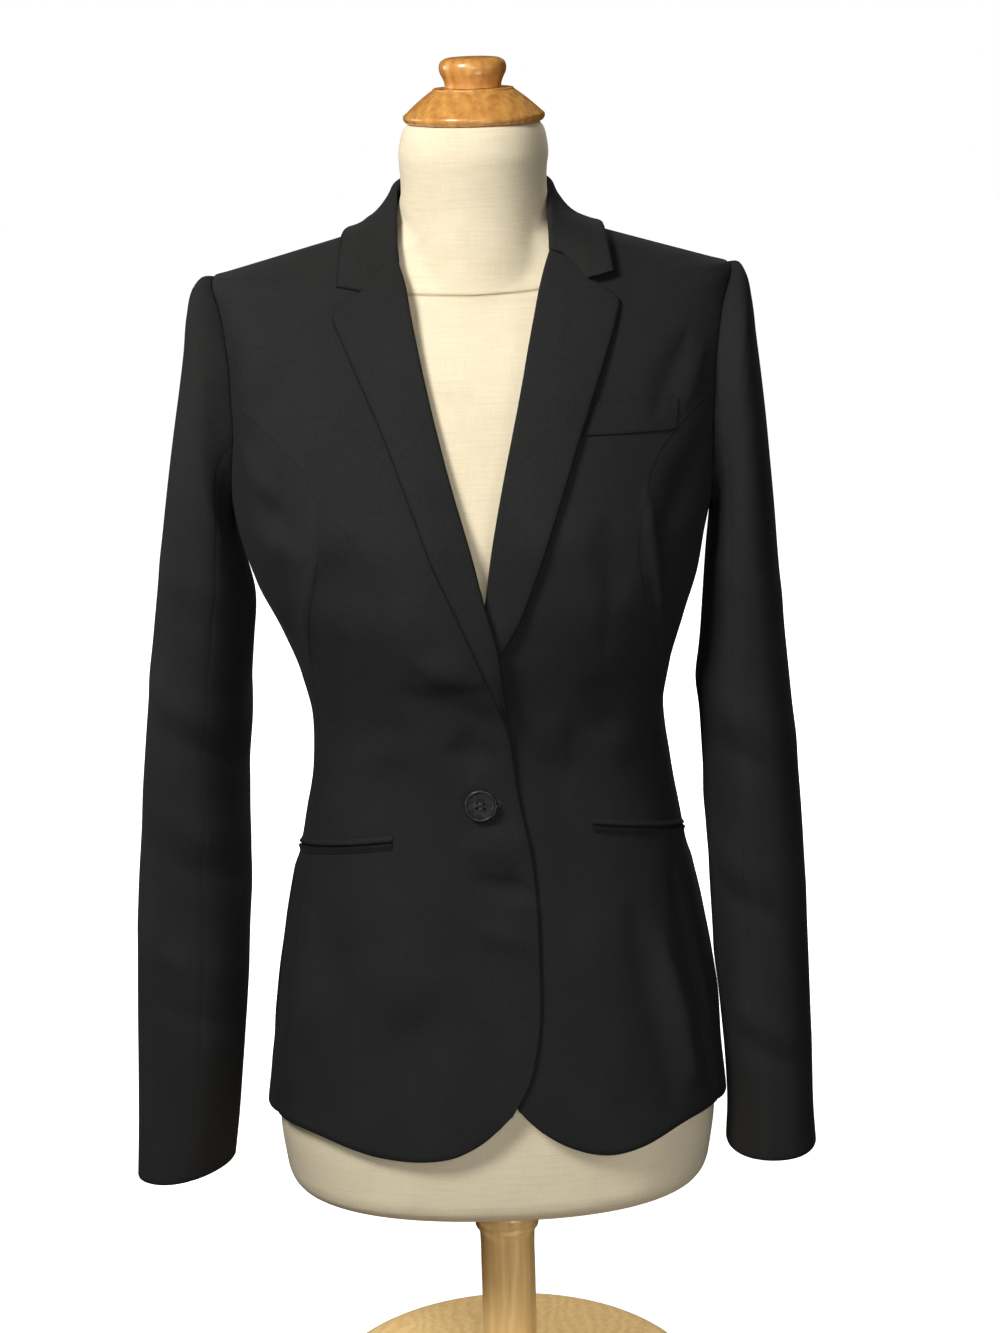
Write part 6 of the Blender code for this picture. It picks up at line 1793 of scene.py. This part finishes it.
# ---------------------------------------------------------------- form and stand
@dataclass
class DressForm:
    """Linen-covered torso, its neck and the turned wooden pieces."""

    surface: GirthSurface
    linen: bpy.types.Material
    honey: bpy.types.Material
    pale: bpy.types.Material
    around: int = 200
    shoulder_space: float = 0.0050
    blade_space: float = 0.0102
    ease: Table = table_field(
        "height space",
        (0.205, 0.0085), (0.3, 0.008), (0.42, 0.006), (0.58, 0.0045), (0.7, 0.005), (0.85, 0.0045),
        (0.895, 0.0028), (0.9135, 0.0016), (0.93, 0.0012), (0.955, 0.0016), (0.97, 0.0023), (0.985, 0.0006),
    )
    neck: Table = table_field(
        "height radius mid_x",
        (0.968, 0.0505, -0.0016), (0.985, 0.0518, -0.0016), (0.995, 0.0527, -0.0012),
        (1.006, 0.0513, -0.0009), (1.0125, 0.0492, -0.0006), (1.016, 0.0465, -0.0004),
    )
    column_x: float = -0.0016
    column: Table = table_field(
        "height radius",
        (0.86, 0.03), (0.89, 0.045), (0.9077, 0.0525), (0.925, 0.051), (0.95, 0.0495), (0.968, 0.0492),
    )
    foot_round: Table = table_field(
        "height inset",
        (0.21, 0.022), (0.2104, 0.017), (0.2118, 0.012), (0.2142, 0.0075), (0.218, 0.0036), (0.223, 0.0012),
        (0.23, 0),
    )
    cap_rim: tuple = ((0.0440, 1.0163), (0.0466, 1.0166), (0.0484, 1.0176), (0.0494, 1.0190),
                      (0.0498, 1.0205), (0.0495, 1.0219), (0.0487, 1.0228), (0.0476, 1.0235))
    knob: tuple = ((0.0198, 1.0405), (0.0199, 1.0430), (0.0212, 1.0468), (0.0232, 1.0512), (0.0236, 1.0545),
                   (0.0226, 1.0578), (0.0196, 1.0600), (0.0130, 1.0611), (0.0040, 1.0612))
    pole: tuple = (
        (0.0255, 0.0288), (0.0266, 0.0305), (0.0268, 0.0340), (0.0258, 0.0375), (0.0240, 0.0410),
        (0.0222, 0.0470), (0.0215, 0.0560), (0.0213, 0.0900), (0.0213, 0.1300), (0.0214, 0.1540),
        (0.0218, 0.1600), (0.0232, 0.1635), (0.0248, 0.1655), (0.0242, 0.1678), (0.0238, 0.1690),
        (0.0250, 0.1708), (0.0264, 0.1735), (0.0268, 0.1770), (0.0262, 0.1806), (0.0244, 0.1835),
        (0.0228, 0.1862), (0.0223, 0.1900), (0.0222, 0.1980), (0.0222, 0.2097))
    base: tuple = (
        (0.1490, 0.0000), (0.1525, 0.0010), (0.1550, 0.0040), (0.1560, 0.0090), (0.1556, 0.0135),
        (0.1535, 0.0172), (0.1500, 0.0196), (0.1440, 0.0215), (0.1380, 0.0222), (0.1200, 0.0229),
        (0.0900, 0.0243), (0.0600, 0.0256), (0.0450, 0.0264), (0.0380, 0.0272), (0.0330, 0.0281),
        (0.0280, 0.0285))
    # Height of the seam between torso and neck.
    neck_seam: Table = table_field(
        "girth height",
        (0, 0.9077), (10, 0.909), (20, 0.9135), (32, 0.925), (50, 0.939), (90, 0.948), (180, 0.95),
    )

    def skin(self, girth: Array, height: Array) -> Array:
        """Surface of the form: the jacket's inner face less the ease, or the neck."""
        low = np.minimum(height, 0.972)
        ridge = 1.0 - ramp(np.abs(np.abs(girth) - 90.0), 0.0, 20.0)
        sloped = ramp(low, 0.850, 0.900) * (1.0 - ramp(low, 0.950, 0.970)) * (1.0 - ridge)
        more = np.where(np.abs(girth) > 90.0, self.blade_space, self.shoulder_space)
        space = WALL + read(self.ease, "space", low) + read(self.foot_round, "inset", low) + more * sloped
        torso = self.surface.bare_point(girth, low) - self.surface.direction(girth, low) * space[..., None]
        foot = 1.0 - ramp(height, 0.225, 0.250)
        torso[..., 2] = torso[..., 2] * (1 - foot) + height * foot
        column = read(self.column, "radius", low)
        east = torso[..., 0] - self.column_x
        reach = np.hypot(east, torso[..., 1])
        wide = 0.5 * (reach + column + np.hypot(reach - column, 0.004)) / reach
        torso[..., 0] = self.column_x + east * wide
        torso[..., 1] = torso[..., 1] * wide
        high = np.maximum(height, self.neck["height"][0])
        radius, mid_x = read(self.neck, "radius", high), read(self.neck, "mid_x", high)
        angle = np.radians(girth)
        post = np.stack([mid_x + radius * np.sin(angle), -0.001 - radius * np.cos(angle), high], axis=-1)
        share = ramp(height, 0.960, 0.986)[..., None]
        return torso * (1 - share) + post * share

    def build(self) -> None:
        """Make and dress the cover, the cap, the knob, the pole and the base."""
        girth = np.linspace(-180.0, 180.0, self.around + 1)
        seam = read(self.neck_seam, "height", np.abs(girth), "girth")
        foot = FORM_FOOT + 0.025 * shares(22)[:, None] ** 1.8 + 0.0 * seam
        rise = shares(110)[1:, None]
        rise = 0.5 * (rise + np.sin(0.5 * np.pi * rise))
        lower = foot[-1:] + (seam - 0.0040 - foot[-1:]) * rise
        steps = np.array([0.00025, 0.0005, 0.0008, 0.0012, 0.0018, 0.0028])
        groove = seam + np.concatenate([-steps[::-1], [0.0], steps])[:, None]
        upper = seam + 0.0040 + (self.neck["height"][-1] - seam - 0.0040) * shares(70)[:, None]
        height = np.vstack([foot, lower, groove, upper])
        turns = np.broadcast_to(girth, height.shape)
        points = self.skin(turns, height)
        closed = np.concatenate([points[:, -2:-1], points, points[:, 1:2]], axis=1)
        offset = height - seam
        ripple = 1.0 + 0.4 * np.sin(turns * 1.1) * np.sin(turns * 0.37 + 1.0)
        sink = (0.0008 * np.exp(-(offset / 0.00045) ** 2)
                - 0.0004 * ripple * np.exp(-((np.abs(offset) - 0.0028) / 0.0016) ** 2))
        points = points - grid_direction(closed)[:, 1:-1] * sink[..., None]
        across = lengths(points, 1)
        grain = np.stack([across - 0.5 * across[:, -1:], height], axis=-1)
        # Mask of the painted shade in the neck seam's groove.
        edge = np.exp(-(offset / 0.0009) ** 2)[:, :-1]
        dress(closed_tube("form_cover", points[:, :-1], grain, edge), self.linen, Slot.LINEN, "form_torso")
        self.turned_pieces()

    def turned_pieces(self) -> None:
        """Cap, knob, pole and base from their turned profiles."""
        quarter, slope = 0.5 * np.pi * shares(8), shares(14)[1:]
        brim, crown = np.array(self.cap_rim[-1]), np.array([0.0284, 1.0392])
        dome = brim + (crown - brim) * slope[:, None]
        dome[:, 1] += 0.0007 * np.sin(np.pi * slope)
        top = np.stack([0.0274 + 0.0010 * np.cos(quarter), 1.0393 + 0.0009 * np.sin(quarter)], axis=1)
        cap = np.vstack([self.cap_rim, dome, top, [(0.0200, 1.0402)]])
        for name, node, profile, sides, finish, slot in (
                ("neck_cap_turned", "neck_cap", cap, 128, self.honey, Slot.HONEY_WOOD),
                ("cap_knob_turned", "cap_knob", run_through(self.knob, shares(44)), 128, self.honey,
                 Slot.HONEY_WOOD),
                ("pole_turned", "pole", run_through(self.pole, shares(170)), 128, self.pale, Slot.PALE_WOOD),
                ("base_turned", "base", run_through(self.base, shares(90)), 192, self.pale, Slot.PALE_WOOD)):
            dress(lathe(name, profile, sides), finish, slot, node)


# ---------------------------------------------------------------- studio
@dataclass(frozen=True)
class Studio:
    """Seamless paper, soft lights and the camera."""

    focal_px: float = 2650.0
    image_height: float = 1333.0
    target: tuple[float, float, float] = (0.0071, 0.0, 0.62)
    distance: float = 1.963
    pitch: float = 15.8
    roll: float = 1.658
    floor_radius: float = 9.0
    # Each lamp's place, size, power and aim.
    lamps: dict = field(default_factory=lambda: {
        "key_softbox": ((-0.90, -1.12, 1.95), 0.52, 35.5, (0.0, 0.0, 0.78)),
        "right_softbox": ((1.50, -1.10, 1.30), 0.60, 1.9, (0.0, 0.0, 0.70)),
        "front_softbox": ((0.1, -2.60, 1.45), 0.80, 15.5, (0.0, 0.0, 0.70)),
        "low_softbox": ((0.55, -1.30, 0.04), 0.5, 5.6, (0.05, 0.0, 0.12)),
        "rim_softbox": ((-1.70, 0.55, 1.20), 0.6, 7.0, (-0.15, 0.0, 0.65)),
        "back_softbox": ((0.7, 2.1, 2.1), 1.4, 70.0, (0.0, 0.0, 0.62)),
    })

    def stand(self, made: bpy.types.Object, place: Array, right: Array, up: Array, back: Array) -> None:
        """Put a lamp or the camera at a place, turned to three directions, and link it."""
        rows = np.eye(4)
        rows[:3] = np.stack([right, up, back, place], axis=1)
        made.matrix_world = Matrix(rows.tolist())
        bpy.context.scene.collection.objects.link(made)

    def camera(self) -> None:
        """Camera a little above the middle, looking down along +Y."""
        data = bpy.data.cameras.new("studio_camera")
        data.sensor_width = 36.0
        data.lens = self.focal_px / self.image_height * data.sensor_width
        data.clip_end = 60.0
        camera = bpy.data.objects.new("studio_camera", data)
        pitch, roll = math.radians(self.pitch), math.radians(self.roll)
        forward = np.array([0.0, math.cos(pitch), -math.sin(pitch)])
        level, up = np.array([1.0, 0.0, 0.0]), np.array([0.0, math.sin(pitch), math.cos(pitch)])
        self.stand(camera, np.array(self.target) - forward * self.distance,
                   level * math.cos(roll) - up * math.sin(roll),
                   level * math.sin(roll) + up * math.cos(roll), -forward)
        bpy.context.scene.camera = camera

    def light(self, name: str, place: tuple[float, float, float], size: float, power: float,
              aim: tuple[float, float, float]) -> None:
        """Square soft light aimed at a point."""
        data = bpy.data.lights.new(name, "AREA")
        data.shape = "SQUARE"
        data.size = size
        data.energy = power
        made = bpy.data.objects.new(name, data)
        back = unit(np.array(place) - np.array(aim))
        right = unit(np.cross(UP, back))
        made.visible_glossy = name != "back_softbox"
        self.stand(made, np.array(place), right, np.cross(back, right), back)

    def build(self) -> None:
        """Floor, lights, world and camera."""
        rim = circle(96, *(self.floor_radius * np.eye(3)[:2]))
        mesh = bpy.data.meshes.new("studio_floor")
        mesh.from_pydata(rim.tolist(), [], [list(range(len(rim)))])
        mesh.materials.append(StudioPaper().material())
        paper = bpy.data.objects.new("studio_floor", mesh)
        paper.visible_diffuse = False
        paper.visible_glossy = False
        bpy.context.scene.collection.objects.link(paper)
        for name, row in self.lamps.items():
            self.light(name, *row)
        world = bpy.data.worlds.new("studio_world")
        world.use_nodes = True
        background = world.node_tree.nodes["Background"]
        background.inputs["Color"].default_value = (1.0, 1.0, 1.0, 1.0)
        background.inputs["Strength"].default_value = 1.0
        world.cycles_visibility.diffuse = False
        world.cycles_visibility.glossy = False
        bpy.context.scene.world = world
        bpy.context.scene.view_settings.view_transform = "Standard"
        self.camera()


def main() -> None:
    """Build the studio, the form and the jacket in order."""
    logging.basicConfig(level=logging.INFO, format="%(name)s %(message)s")
    Studio().build()
    cloth = Suiting().material()
    linen = Linen().material()
    honey = TurnedWood("honey_wood", (0.48, 0.190, 0.042), (0.76, 0.380, 0.095), 0.28, 0.4).material()
    pale = TurnedWood("pale_wood", (0.70, 0.460, 0.180), (0.90, 0.640, 0.300), 0.36, 0.25).material()
    pattern = Pattern()
    DressForm(pattern.surface, linen, honey, pale).build()
    tailor = Tailor(pattern, cloth)
    BodyPanels(tailor).build()
    Lapels(tailor).build()
    Collar(tailor).build()
    Sleeves(tailor).build()
    Pockets(tailor).build()
    FrontButton(tailor, DarkHorn().material(), Twist().material()).build()


if __name__ == "__main__":
    main()
